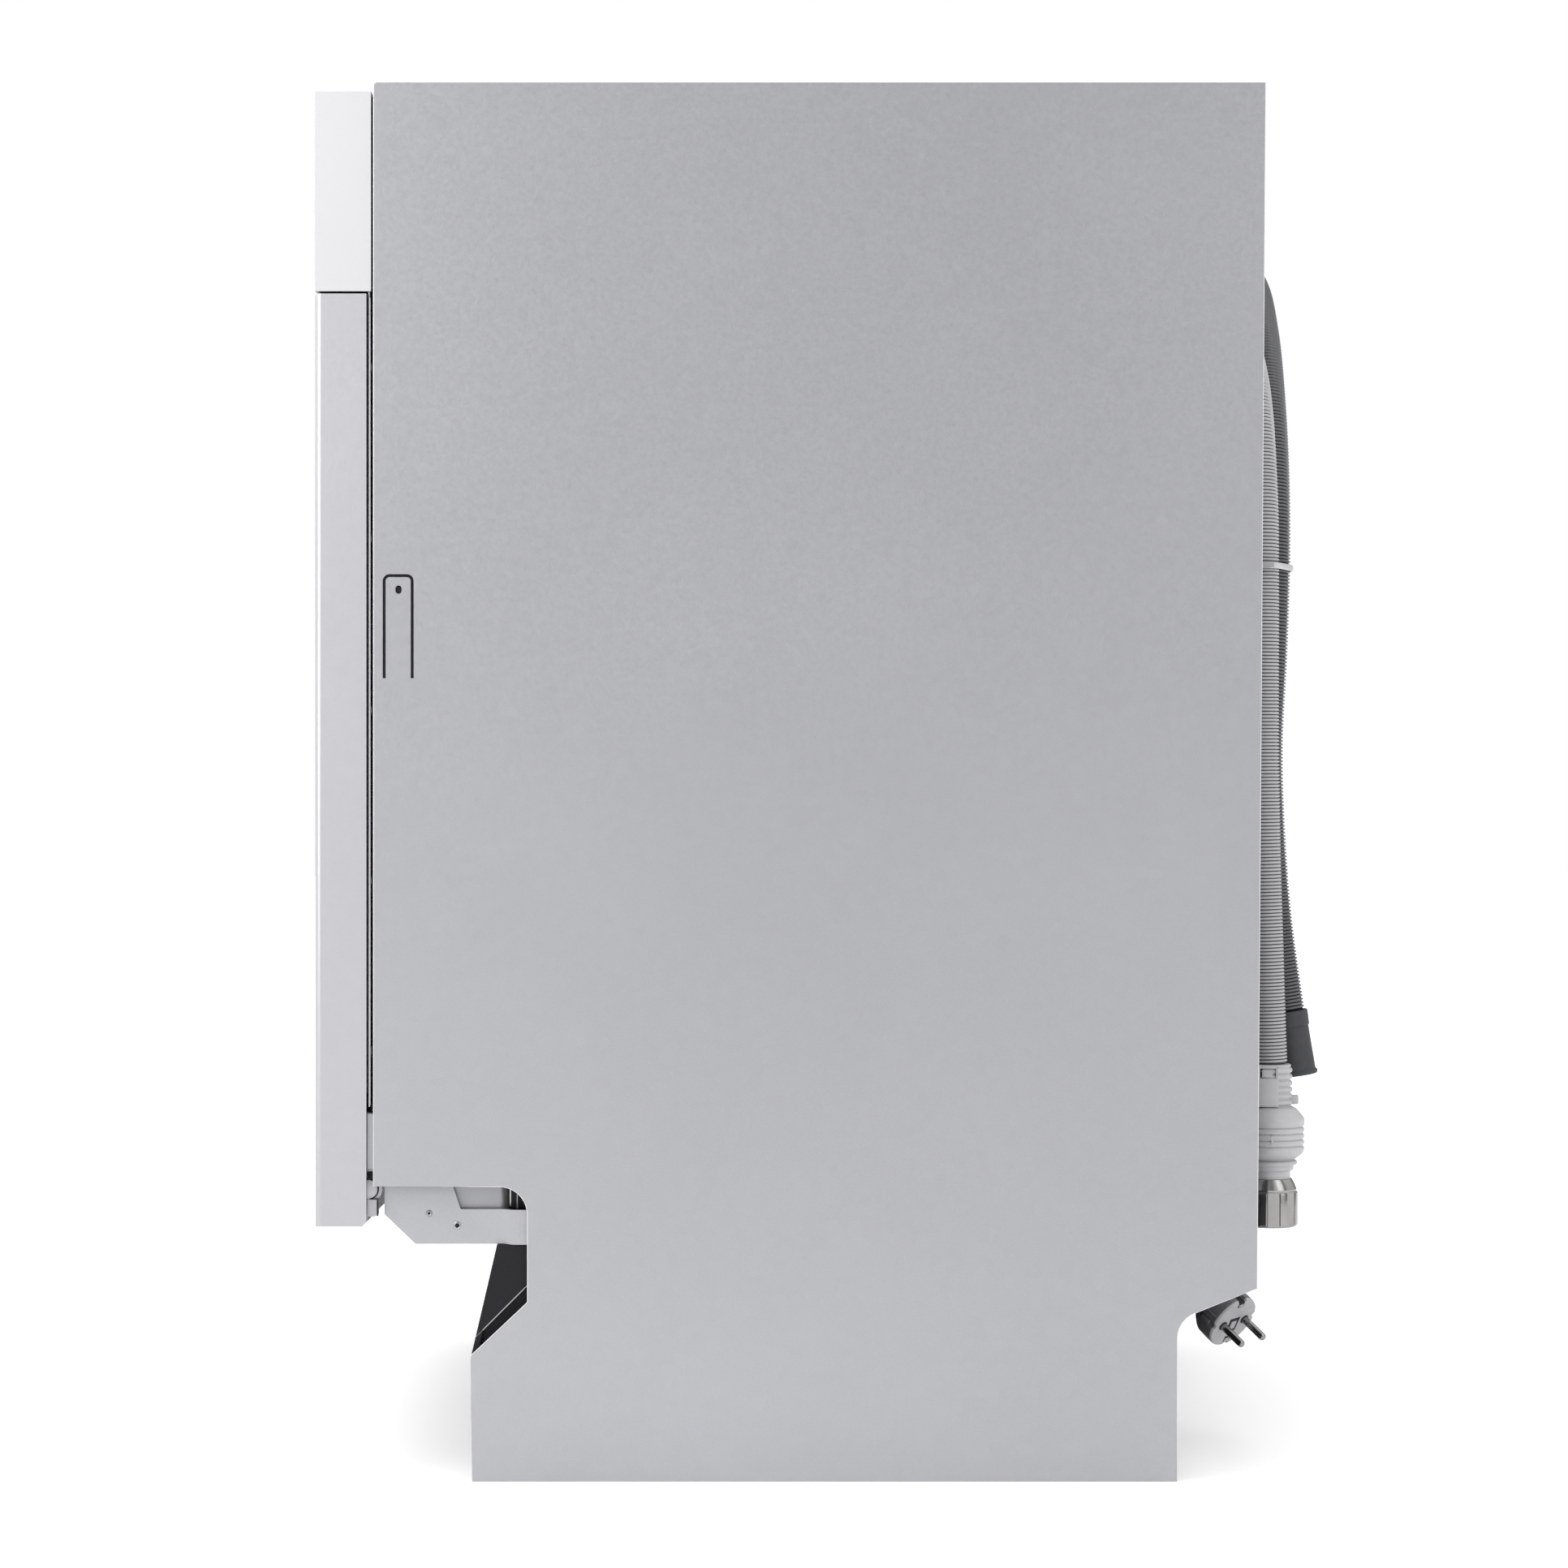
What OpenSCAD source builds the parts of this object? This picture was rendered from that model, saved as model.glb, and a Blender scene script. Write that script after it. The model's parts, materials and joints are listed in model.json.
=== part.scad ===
// Built-in dishwasher, 60 cm wide, semi-integrated, with its own steel door.
// +Z is up, -Y is the door side, and +X is the right side seen from the door.
// The origin is on the floor, in the middle of the cabinet and door together.

/* [Cabinet] */
// Width across the side panels
cab_w = 598; // [596:1:600]
// Height of the cabinet
cab_h = 815; // [813:1:820]
// Depth from the door's front to the rear edge
full_d = 554; // [552:1:558]
// Thickness of the galvanised sheet
sheet_t = 0.8; // [0.7:0.1:1]

/* [Door] */
// Height of the hinge axis above the floor
hinge_z = 170; // [169:1:171]
// Distance from the door's front to the hinge axis
hinge_in = 31; // [30.5:0.5:31.5]
// Height of the door's lower edge
door_z0 = 148.4; // [148:0.2:149]
// Height of the steel door's upper edge
door_z1 = 692.2; // [690:0.2:694]
// Height of the control panel's upper edge
panel_z1 = 810; // [809:0.5:811]

/* [Tub] */
// Width of the tub inside
tub_w = 558; // [556:1:558]
// Height of the tub's roof
tub_z1 = 790; // [788:1:791]
// Height of the wheel tracks in the tub
track_z = 190; // [189:1:191]

/* [Baskets] */
// Width of both baskets
basket_w = 510; // [500:2:512]
// Depth of both baskets
basket_d = 410; // [400:2:412]
// Thickness of the basket wire
wire = 3.6; // [3:0.2:4]

/* [Hidden] */
$fn = 48;
front_y = -full_d / 2;
rear_y = full_d / 2;
cab_y = front_y + 36;
side_y = cab_y - 1.4;
hinge_y = front_y + hinge_in;
half_w = cab_w / 2;
tub_x = tub_w / 2;
tub_y1 = 225.9;
floor_z = 176;
base_x = 288;
base_y0 = -180;
base_y1 = 225;
base_top = 157.5;
rear_sheet_y = 255;
sump_c = [0, -10];
sump_r = 88;
filter_c = [0, -58];
salt_c = [-170, -60];
feet = [[-240, -150], [240, -150], [0, 190]];
stem_r = 5;
button_x = [-262, 190, 262];
button_r = 9;
button_z = 762;
bulge_y = -226;
arm_r = 203;
upper_arm_r = 200;
wheel_y = 150;
wheel_r = 14.7;
axle_r = 3;
fit = 0.05;

// Where the hoses and the lead run behind the cabinet.
inlet_route = [[-180, 268, 98], [-180, 268, 130], [-180, 268, 200],
  [-180, 268, 300], [-180, 268, 420], [-180, 268, 520], [-170, 268, 604], [-136, 268, 688], [-62, 268, 750],
  [35, 268, 774], [128, 268, 751], [196, 269.5, 700], [235, 277.5, 645], [249, 280.5, 580], [251, 281, 510],
  [250, 281, 440], [250, 282, 370], [250, 284, 300], [250, 286, 240]];
drain_route = [[-140, 268, 98], [-140, 268, 130], [-142, 268, 200],
  [-144, 268, 300], [-144, 268, 420], [-142, 268, 510], [-132, 268, 588], [-104, 268, 660], [-44, 268.3, 720],
  [37, 269, 742], [98, 276, 737], [150, 286, 717], [187, 288.5, 683], [210, 289.6, 640], [222, 290.5, 592],
  [227, 290.2, 540], [228, 288.4, 485], [227, 285.8, 430], [226, 287.2, 380], [226, 291.5, 325], [226, 299, 270]];
lead_route = [[-60, 256, 72], [-60, 256, 94], [-61, 258, 122], [-66, 261, 158], [-76, 262, 210], [-88, 262, 280],
  [-95, 262, 360], [-98, 262, 450], [-98, 262, 540], [-98, 262, 613], [-87.5, 262, 638.5], [-62, 262, 649],
  [-36.5, 262, 638.5], [-26, 262, 613], [-26, 262, 584], [-15.5, 262, 558.5], [10, 262, 548],
  [35.5, 262, 558.5], [46, 262, 584], [46, 262, 613], [56.5, 262, 638.5], [82, 262, 649],
  [107.5, 262, 638.5], [118, 262, 613], [120, 262, 570], [125, 262, 510], [131, 262, 440], [137, 262, 360],
  [141, 262.5, 285], [142, 263, 230], [142, 262.8, 186], [138.5, 259.5, 165.5], [133, 254.2, 153.8],
  [125.6, 246.9, 137.7], [122.3, 243.8, 127], [122.3, 243.8, 113.7], [126, 247.3, 102], [132, 253.2, 93.7]];
inlet_r = 10.5;
drain_r = 11;
lead_r = 3.5;
valve_c = [250, 286];
elbow_z = 76;
plug_face = [155, 275.8, 72];
plug_turn = [0, 123.7, 44.4];
plug_spin = 99.1;

// Points of an arc about c, from angle a0 to a1.
function arc(c, r, a0, a1, n = 8) =
  [for (i = [0:n]) let (a = a0 + (a1 - a0) * i / n) [c.x + r * cos(a), c.y + r * sin(a)]];

// A rectangle from lo to hi with its corners rounded to r.
function round_rect(lo, hi, r) = concat(arc([hi.x - r, hi.y - r], r, 0, 90), arc([lo.x + r, hi.y - r], r, 90, 180),
  arc([lo.x + r, lo.y + r], r, 180, 270), arc([hi.x - r, lo.y + r], r, 270, 360));

module box(lo, hi) { translate(lo) cube(hi - lo); }

// A profile drawn in Y and Z, from x0 to x1.
module across(x0, x1, pts) { translate([x0, 0, 0]) rotate([90, 0, 90]) linear_extrude(x1 - x0) polygon(pts); }

// A profile drawn in X and Z, from y0 to y1.
module along(y0, y1, pts) { translate([0, y1, 0]) rotate([90, 0, 0]) linear_extrude(y1 - y0) polygon(pts); }

module rod_x(x0, x1, y, z, r) { translate([x0, y, z]) rotate([0, 90, 0]) cylinder(h = x1 - x0, r = r); }
module rod_y(x, y0, y1, z, r) { translate([x, y0, z]) rotate([-90, 0, 0]) cylinder(h = y1 - y0, r = r); }
module rod_z(x, y, z0, z1, r) { translate([x, y, z0]) cylinder(h = z1 - z0, r = r); }
module both_sides() { children(); mirror([1, 0, 0]) children(); }

// ---- Cabinet ----

function side_outline() = concat(
  [[side_y, 172], [side_y, cab_h - 1.5], [side_y + 1.5, cab_h], [rear_y, cab_h], [rear_y - 5, 112.5]],
  arc([241.5, 83.35], 16, 111.4, 180), [[base_y1 + 0.5, 0], [-185, 0], [-186, 73], [-152.7, 104.4]],
  arc([-169.2, 155.5], 16.5, 0, 90));

// The cut that frees a tongue, which is bent out and screwed to the cupboard beside it.
function tongue_cut(y0, y1, z0, z1, r, w) = concat([[y0, z0]], arc([y0 + r, z1 - r], r, 180, 90),
  arc([y1 - r, z1 - r], r, 90, 0), [[y1, z0], [y1 - w, z0]], arc([y1 - r, z1 - r], r - w, 0, 90),
  arc([y0 + r, z1 - r], r - w, 90, 180), [[y0 + w, z0]]);

module side_panel() {
  difference() {
    union() {
      across(half_w - sheet_t, half_w, side_outline());
      box([half_w - 12, cab_y, 190], [half_w - sheet_t / 2, cab_y + sheet_t, cab_h - 3]);
      box([half_w - 14, cab_y + 4, cab_h - sheet_t], [half_w - sheet_t / 2, rear_y - 2, cab_h]);
      box([half_w - 20, rear_sheet_y - 0.1 - sheet_t, 172], [half_w - sheet_t / 2, rear_sheet_y - 0.1, 810]);
    }
    across(half_w - 2, half_w + 1, tongue_cut(-237.3, -218.9, 468, 528.8, 4.2, 2.1));
    rod_x(half_w - 2, half_w + 1, -227.9, 520.2, 2);
    box([half_w - 2, -229.9, 519], [half_w + 1, -225.9, 520.2]);
    rod_x(half_w - 2, half_w + 1, -227.9, 519, 2);
  }
}
module side_panel_right() color([0.74, 0.74, 0.76]) side_panel();
module side_panel_left() color([0.74, 0.74, 0.76]) mirror([1, 0, 0]) side_panel();

module rear_panel() color([0.70, 0.70, 0.72]) difference() {
  box([-295, rear_sheet_y, 170], [295, rear_sheet_y + sheet_t, 812]);
  for (x = [-180:60:180]) for (z = [300:60:600]) box([x - 16, 250, z], [x + 16, 260, z + 3]);
}

module crossbar(y0, y1) {
  difference() {
    box([-297.9, y0, 799], [297.9, y1, 814]);
    box([-299, y0 + 1.2, 798], [299, y1 - 1.2, 812.8]);
    both_sides() rod_z(250, (y0 + y1) / 2, 798, 816, 2.5);
  }
}
module crossbars() color([0.72, 0.72, 0.74]) {
  crossbar(-236, -202);
  crossbar(195, 229);
}

// The tub's two sides and roof are one sheet, bent over the top. Its skirt reaches the base pan.
module tub_wrap() color([0.80, 0.80, 0.81]) difference() {
  along(-238, tub_y1, concat([[-tub_x - 1, 158]], arc([-tub_x + 19, tub_z1 - 20], 20, 180, 90),
    arc([tub_x - 19, tub_z1 - 20], 20, 90, 0), [[tub_x + 1, 158]]));
  along(-239, tub_y1 + 1, concat([[-tub_x, 157]], arc([-tub_x + 19, tub_z1 - 20], 19, 180, 90),
    arc([tub_x - 19, tub_z1 - 20], 19, 90, 0), [[tub_x, 157]]));
  box([-300, -239, 150], [300, -200, 172]);
}

module tub_rear_wall() color([0.80, 0.80, 0.81]) along(226, 227, concat([[-tub_x - 1, 172]],
  arc([-tub_x + 19, tub_z1 - 20], 20, 180, 90), arc([tub_x - 19, tub_z1 - 20], 20, 90, 0), [[tub_x + 1, 172]]));

// The floor steps up at both sides for the wheels, and dips to the sump like a funnel.
module tub_floor() color([0.78, 0.78, 0.79]) {
  difference() {
    along(-238, tub_y1, [[0.2 - tub_x, track_z], [34 - tub_x, track_z], [36 - tub_x, floor_z + 1],
      [tub_x - 36, floor_z + 1], [tub_x - 34, track_z], [tub_x - 0.2, track_z], [tub_x - 0.2, track_z - 1],
      [tub_x - 33, track_z - 1], [tub_x - 35, floor_z], [35 - tub_x, floor_z], [33 - tub_x, track_z - 1],
      [0.2 - tub_x, track_z - 1]]);
    rod_z(sump_c.x, sump_c.y, 170, 180, 102);
    rod_z(salt_c.x, salt_c.y, 170, 180, 31);
  }
  translate([sump_c.x, sump_c.y, 0]) rotate_extrude($fn = 72) polygon([[104, floor_z], [104, floor_z + 1],
    [100, floor_z + 1], [sump_r + 1, 163], [sump_r, 163], [sump_r, 162], [sump_r + 2, 162], [101, floor_z]]);
}

module tub_frame() color([0.76, 0.76, 0.77]) difference() {
  box([-296, -240, 176], [296, -238.2, 808]);
  along(-241, -238, round_rect([-tub_x + 2, track_z - 0.6], [tub_x - 2, tub_z1 - 3], 8));
  both_sides() box([281, -241, 170], [300, -238, 225]);
}

// The seal steps down under the latch striker.
module door_gasket() color([0.12, 0.12, 0.13]) difference() {
  box([-286, -244.3, 200], [286, -240.2, 806.5]);
  along(-245, -239, round_rect([-276.5, 150], [276.5, 784], 14));
  box([-15, -245, 789], [15, -239, 808]);
}

module foot_well(c) {
  difference() {
    rod_z(c.x, c.y, 0, 46, 19.5);
    rod_z(c.x, c.y, -1, 9, 16.5);
    rod_z(c.x, c.y, 8, 47, stem_r + fit);
    difference() {
      rod_z(c.x, c.y, 12, 47, 22);
      rod_z(c.x, c.y, 11, 48, 11);
    }
  }
}

module base_pan() color([0.13, 0.13, 0.14]) difference() {
  union() {
    difference() {
      across(-base_x, base_x, [[base_y0, 0], [base_y0, 70], [-163, 138], [-163, base_top],
        [base_y1, base_top], [base_y1, 0]]);
      across(3 - base_x, base_x - 3, [[base_y0 + 3, 3], [base_y0 + 3, 70], [-160, 138], [-160, base_top + 1],
        [base_y1 - 3, base_top + 1], [base_y1 - 3, 3]]);
      for (c = feet) rod_z(c.x, c.y, -1, 4, 18);
    }
    for (c = feet) foot_well(c);
    for (r = [inlet_route[0], drain_route[0]]) {
      rod_y(r.x, 224, r.y, elbow_z, 11);
      rod_z(r.x, r.y, elbow_z - 12, r.z - 0.1, 13);
    }
    box([lead_route[0].x - 10, 224, 50], [lead_route[0].x + 10, lead_route[0].y + 9, lead_route[0].z - 0.1]);
  }
  for (r = [inlet_route[0], drain_route[0]]) {
    rod_y(r.x, 220, r.y, elbow_z, 8);
    rod_z(r.x, r.y, elbow_z, r.z + 1, 8);
  }
}

// The plinth front leans back upwards, and each end has a cheek that fills the side panel's notch.
module kick_plate() color([0.22, 0.22, 0.24]) {
  across(-294, 294, [[-171, 137.5], [-186, 73], [-184, 40], [-182, 40], [-182.4, 72], [-168, 134.5], [-168, 137.5]]);
  both_sides() across(291, 294, [[-171, 137.5], [-183.5, 83.5], [-150, 116.9], [-150, 137.5]]);
}

module hinge_brackets() color([0.76, 0.76, 0.78]) both_sides() difference() {
  union() {
    across(290, 291.5, [[front_y + 24, 172], [front_y + 24, 189], [front_y + 80, 189], [front_y + 80, 172],
      [front_y + 84.6, 158], [front_y + 110, 158], [front_y + 110, 137.6], [front_y + 58.1, 137.6],
      [front_y + 40, 155], [front_y + 40, 174], [front_y + 38, 174]]);
    rod_x(290, 291.5, hinge_y, hinge_z, 7);
    translate([0, 0, 137.6]) linear_extrude(20.4) polygon([[290, -167.2], [291.5, -167.2], [296, -161], [296, -100],
      [294.5, -100], [294.5, -160.5], [290, -166.7]]);
  }
  rod_x(288, 293, hinge_y, hinge_z, 4.02);
}

module hinge_pins() color([0.82, 0.82, 0.84]) both_sides() {
  rod_x(289.4, 294.8, hinge_y, hinge_z, 4);
  rod_x(294.6, 296.2, hinge_y, hinge_z, 5.5);
  rod_x(288, 289.6, hinge_y, hinge_z, 5.5);
}

module balance_springs() color([0.55, 0.56, 0.58]) both_sides() difference() {
  rod_z(293.2, -138, 30, 132, 4.3);
  rod_z(293.2, -138, 29, 133, 3);
}

module latch_striker() color([0.80, 0.80, 0.82]) difference() {
  union() {
    box([-14, -262, 796.4], [14, -240.1, 798.4]);
    box([-14, -241.6, 790], [14, -240.1, 806]);
  }
  box([-6, -258, 795], [6, -250, 800]);
}

module upper_rails() color([0.78, 0.78, 0.80]) both_sides() difference() {
  box([263, -222, 547], [tub_x - 0.3, 205, 573]);
  box([262, -223, 549], [tub_x - 1.5, 203.5, 571]);
}

// A pipe climbs the rear wall, feeds the upper arm's socket, and ends in the roof sprayer.
module feed_pipe() color([0.62, 0.63, 0.65]) {
  rod_z(0, 214, 178.5, 778, 9);
  box([-14, 201, 472], [14, 213, 483]);
  rod_y(0, 2, 213, 766, 7.5);
  rod_z(0, 0, 750, 774, 24);
}

module sump() color([0.25, 0.25, 0.27]) translate([sump_c.x, sump_c.y, 0]) difference() {
  union() {
    translate([0, 0, 96]) cylinder(h = 65.8, r = sump_r + 3);
    translate([60, 0, 96]) rotate([0, 0, 20]) translate([0, -12, 0]) cube([60, 24, 26]);
    translate([-104.9, 0, 100]) cube([30, 20, 20]);
  }
  translate([0, 0, 99]) cylinder(h = 70, r = sump_r);
}

module wash_pump() color([0.30, 0.31, 0.33]) difference() {
  union() {
    rod_x(134, 236, 70, 74, 38);
    rod_x(106, 134.5, 70, 74, 46);
    rod_x(92, 107, 70, 74, 16);
  }
  rod_x(110, 130, 70, 74, 42);
  rod_x(91, 111, 70, 74, 12);
  rod_x(129, 150, 70, 74, 4 + fit);
}

module wash_impeller() color([0.85, 0.85, 0.83]) {
  rod_x(112, 115, 70, 74, 38);
  rod_x(115, 148, 70, 74, 4);
  for (a = [0:60:300]) translate([114, 70, 74]) rotate([a, 0, 0]) box([0, 12, -1], [8, 37, 1]);
}

module drain_pump() color([0.20, 0.21, 0.22]) {
  rod_x(-190, -122, 30, 58, 24);
  rod_x(-122, -106, 30, 58, 30);
  rod_y(-114, 56, 150, 76, 9);
}

module softener() color([0.88, 0.88, 0.86]) difference() {
  union() {
    translate([-225, -125, 30]) cube([120, 125, 118]);
    rod_z(salt_c.x, salt_c.y, 148, 180, 29);
  }
  rod_z(salt_c.x, salt_c.y, 34, 181, 25);
}

module salt_cap() color([0.20, 0.30, 0.45]) {
  rod_z(salt_c.x, salt_c.y, 180.2, 185, 29);
  rod_z(salt_c.x, salt_c.y, 168, 180.4, 24.9);
  box([salt_c.x - 20, salt_c.y - 3, 184.9], [salt_c.x + 20, salt_c.y + 3, 191]);
}

module filter_plate() color([0.72, 0.72, 0.73]) difference() {
  rod_z(sump_c.x, sump_c.y, 163.2, 165, sump_r - 0.5);
  rod_z(filter_c.x, filter_c.y, 160, 170, 34);
  rod_z(0, 0, 160, 170, 13);
}

module filter_cup() color([0.55, 0.57, 0.60]) difference() {
  union() {
    rod_z(filter_c.x, filter_c.y, 102, 168, 32);
    rod_z(filter_c.x, filter_c.y, 165.3, 168, 37);
  }
  rod_z(filter_c.x, filter_c.y, 104, 169, 30);
  for (a = [0:45:315]) translate([filter_c.x, filter_c.y, 110]) rotate([0, 0, a]) translate([26, -6, 0])
    cube([10, 12, 46]);
}

module air_break() color([0.84, 0.85, 0.86]) difference() {
  box([-296, -100, 300], [-283, 90, 570]);
  box([-294.5, -98, 302], [-284.5, 88, 568]);
}

module flood_float() color([0.92, 0.92, 0.90]) {
  rod_z(200, -95, 3.4, 28, 32);
  rod_z(200, -95, 28, 60, 4);
}

// Hooks for the two hoses and round saddles for the mains lead, all on the rear sheet.
hook_y = rear_sheet_y + sheet_t + 0.1;
saddle_r = 28;
saddle_x = [-62, 82];
module hook(x, y1, z) {
  box([x - 8, hook_y, z - 4], [x + 8, y1, z]);
  box([x - 8, y1 - 2.5, z - 4], [x + 8, y1, z + 8]);
}
module saddle(x, z) {
  rod_y(x, hook_y, 267.5, z - saddle_r, saddle_r);
  rod_y(x, 266.4, 268.6, z - saddle_r, saddle_r + 3);
}
module hose_hooks() color([0.9, 0.9, 0.9]) {
  hook(35, 283, 774 - inlet_r - 0.7);
  hook(37, 283.5, 742 - drain_r - 0.7);
  box([26, hook_y, 720], [44, hook_y + 0.9, 786]);
  for (x = saddle_x) saddle(x, 649 - lead_r - 1.2);
}

// Two rivets hold each hinge bracket, and screws hold the rear sheet.
module fasteners() color([0.66, 0.66, 0.68]) {
  both_sides() {
    rod_x(291.5, 292.3, front_y + 66.2, 155.5, 2);
    rod_x(291.5, 292.5, front_y + 82.7, 148.4, 3);
    for (z = [200:150:800]) rod_y(282, rear_sheet_y + sheet_t, rear_sheet_y + sheet_t + 2, z, 4);
  }
}

module foot(c) {
  rod_z(c.x, c.y, 0, 8, 15);
  rod_z(c.x, c.y, 8, 96, stem_r);
}
module foot_front_left() color([0.16, 0.16, 0.17]) foot(feet[0]);
module foot_front_right() color([0.16, 0.16, 0.17]) foot(feet[1]);
module foot_rear() color([0.16, 0.16, 0.17]) foot(feet[2]);

// ---- Spray arms ----

module spray_arm(r, z, up) {
  difference() {
    union() {
      rod_z(0, 0, z, z + 12, 22);
      for (s = [0, 180]) rotate([0, 0, s]) hull() {
        translate([12, -17, z]) cube([1, 34, 11]);
        translate([r - 12, 0, z + 1]) cylinder(h = 8, r = 12, $fn = 32);
      }
    }
    if (up) rod_z(0, 0, z - 1, z + 9, 8 + fit);
  }
}
module lower_spray_arm() color([0.52, 0.53, 0.55]) spray_arm(arm_r, 196, true);
module upper_spray_arm() color([0.52, 0.53, 0.55]) spray_arm(upper_arm_r, 458, false);

// The duct feeds the upper arm from a socket on the rear pipe.
module upper_feed_duct() color([0.62, 0.63, 0.65]) {
  box([-13, -4, 474], [13, 200.5, 481]);
  rod_z(0, 0, 470.4, 474.5, 14);
}

// ---- Baskets ----

module bar(lo, hi) { box(lo, [max(hi.x, lo.x + wire), max(hi.y, lo.y + wire), max(hi.z, lo.z + wire)]); }

module wire_basket(z0, h, nx, ny) {
  x1 = basket_w / 2;
  y1 = basket_d / 2;
  dx = (basket_w - wire) / nx;
  dy = (basket_d - wire) / ny;
  for (i = [0:nx]) {
    x = -x1 + i * dx;
    bar([x, -y1, z0], [x + wire, y1, z0]);
    for (y = [-y1, y1 - wire]) bar([x, y, z0], [x, y, z0 + h]);
  }
  for (j = [0:ny]) {
    y = -y1 + j * dy;
    bar([-x1, y, z0], [x1, y + wire, z0]);
    for (x = [-x1, x1 - wire]) bar([x, y, z0], [x, y, z0 + h]);
  }
  for (z = [z0 + h / 2, z0 + h - wire]) {
    for (x = [-x1, x1 - wire]) bar([x, -y1, z], [x, y1, z]);
    for (y = [-y1, y1 - wire]) bar([-x1, y, z], [x1, y, z]);
  }
}

module tines(x0, x1, y_rows, z0, h, n) {
  for (y = y_rows) {
    bar([x0, y, z0], [x1, y, z0]);
    for (i = [0:n]) bar([x0 + (x1 - x0 - wire) * i / n, y, z0], [x0, y, z0 + h]);
  }
}

module lower_basket() color([0.60, 0.61, 0.63]) {
  wire_basket(228, 168, 10, 8);
  tines(51, 240, [-142, -92, -42, 8, 58, 108], 229, 62, 7);
  both_sides() for (y = [-wheel_y, wheel_y]) {
    box([243, y - 4, 201], [247, y + 4, 232]);
    rod_x(246, 262, y, 205, axle_r);
  }
}

module wheel_pair(y) {
  both_sides() difference() {
    rod_x(249, 259, y, 205, wheel_r);
    rod_x(248, 260, y, 205, axle_r + fit);
  }
}
module lower_front_wheels() color([0.45, 0.46, 0.48]) wheel_pair(-wheel_y);
module lower_rear_wheels() color([0.45, 0.46, 0.48]) wheel_pair(wheel_y);

module cutlery_basket() color([0.42, 0.43, 0.45]) difference() {
  box([-244, -192, 233], [-166, 40, 345]);
  for (i = [0:3]) box([-242, -190 + i * 57.5, 235], [-168, -134.5 + i * 57.5, 346]);
}

module upper_basket() color([0.60, 0.61, 0.63]) {
  wire_basket(484, 128, 10, 8);
  tines(51, 240, [-142, -92, -42, 8, 58, 108], 485, 50, 7);
  both_sides() for (y = [-170, 110, 180]) {
    rod_x(253, 264, y, 560, 4);
    rod_x(264, 275.5, y, 560, 9.5);
    box([251.4, y - 6, 546], [255, y + 6, 568]);
  }
}

// A flap that folds up against the basket's left side.
module cup_shelf() color([0.60, 0.61, 0.63]) {
  rod_y(-245, -160, 160, 572, 2);
  for (y = [-160:40:160]) box([-245, y - 1.5, 570.5], [-160, y + 1.5, 573.5]);
  box([-162, -161.5, 570.5], [-158, 161.5, 573.5]);
}

// ---- Door ----

function plan_shell(x, y0, y1, r, t) = concat([[x, y1]], arc([x - r, y0 + r], r, 0, -90),
  arc([r - x, y0 + r], r, 270, 180), [[-x, y1], [t - x, y1]], arc([r - x, y0 + r], r - t, 180, 270),
  arc([x - r, y0 + r], r - t, -90, 0), [[x - t, y1]]);

module door_panel() color([0.78, 0.78, 0.80]) intersection() {
  union() {
    translate([0, 0, door_z0]) linear_extrude(door_z1 - door_z0)
      polygon(plan_shell(298, front_y, hinge_y - 0.8, 4, 0.8));
    both_sides() box([289, hinge_y - 1.6, 226], [297.6, hinge_y - 0.8, door_z1]);
    box([-280, front_y + 0.6, door_z0], [280, hinge_y - 2, door_z0 + 0.8]);
    box([-285, hinge_y - 2.2, door_z0], [285, hinge_y - 1.4, 180]);
    box([-297, front_y + 0.6, door_z1 - 0.8], [297, hinge_y - 2, door_z1]);
  }
  across(-300, 300, [[front_y, door_z0], [front_y + 27.7, door_z0], [hinge_y - 0.8, door_z0 + 2.5],
    [hinge_y - 0.8, door_z1], [front_y, door_z1]]);
}

module door_liner() color([0.80, 0.80, 0.81]) difference() {
  union() {
    along(-246, -244.8, [[-277, 178], [277, 178], [277, 218], [295, 218], [295, 806], [-295, 806],
      [-295, 218], [-277, 218]]);
    along(-245.5, bulge_y, round_rect([-262, 195], [262, 774], 16));
  }
  along(-247, bulge_y - 1, round_rect([-261, 196], [261, 773], 15));
  box([-104, -240, 431], [74, -220, 559]);
  box([-17, -248, 786], [17, -244, 802]);
}

module control_panel() color([0.93, 0.93, 0.94]) difference() {
  union() {
    difference() {
      box([-298, front_y, 693.6], [298, -244, panel_z1]);
      box([-295.6, front_y + 2.5, 690], [295.6, -240, 807.4]);
    }
    box([-74, front_y + 1, 700], [74, front_y + 24, 742]);
  }
  box([-71, front_y - 1, 703], [71, front_y + 21, 739]);
  for (x = button_x) rod_y(x, front_y - 1, front_y + 4, button_z, button_r + 0.3);
  box([40, front_y - 1, 750], [130, front_y + 1.4, 774]);
  box([-17, -248, 806], [17, -243, 811]);
}

module control_box() color([0.16, 0.16, 0.18]) difference() {
  box([-280, -266, 747], [285, -248, 804]);
  box([-18, -267, 752], [18, -247, 803]);
  box([-278, -264, 750], [-18.5, -246, 801]);
  box([18.5, -264, 750], [283, -246, 801]);
}

module hinge_arms() color([0.72, 0.72, 0.74]) both_sides() difference() {
  union() {
    across(292, 294, [[front_y + 10, 180], [front_y + 10, 330], [front_y + 28, 330], [front_y + 28, 215],
      [front_y + 34.2, 214], [front_y + 34.2, 176], [front_y + 24, 172]]);
    across(291.9, 296, [[front_y + 30.6, 182], [front_y + 30.6, 214], [front_y + 34.2, 214], [front_y + 34.2, 182]]);
    rod_x(292, 294, hinge_y, hinge_z, 8);
    across(292, 295.4, [[front_y + 30.4, 154], [front_y + 30.4, 164.5], [front_y + 37, 164.5],
      [front_y + 37, 155.6], [front_y + 35, 154]]);
  }
  rod_x(285, 300, hinge_y, hinge_z, 4 + fit);
}

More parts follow.
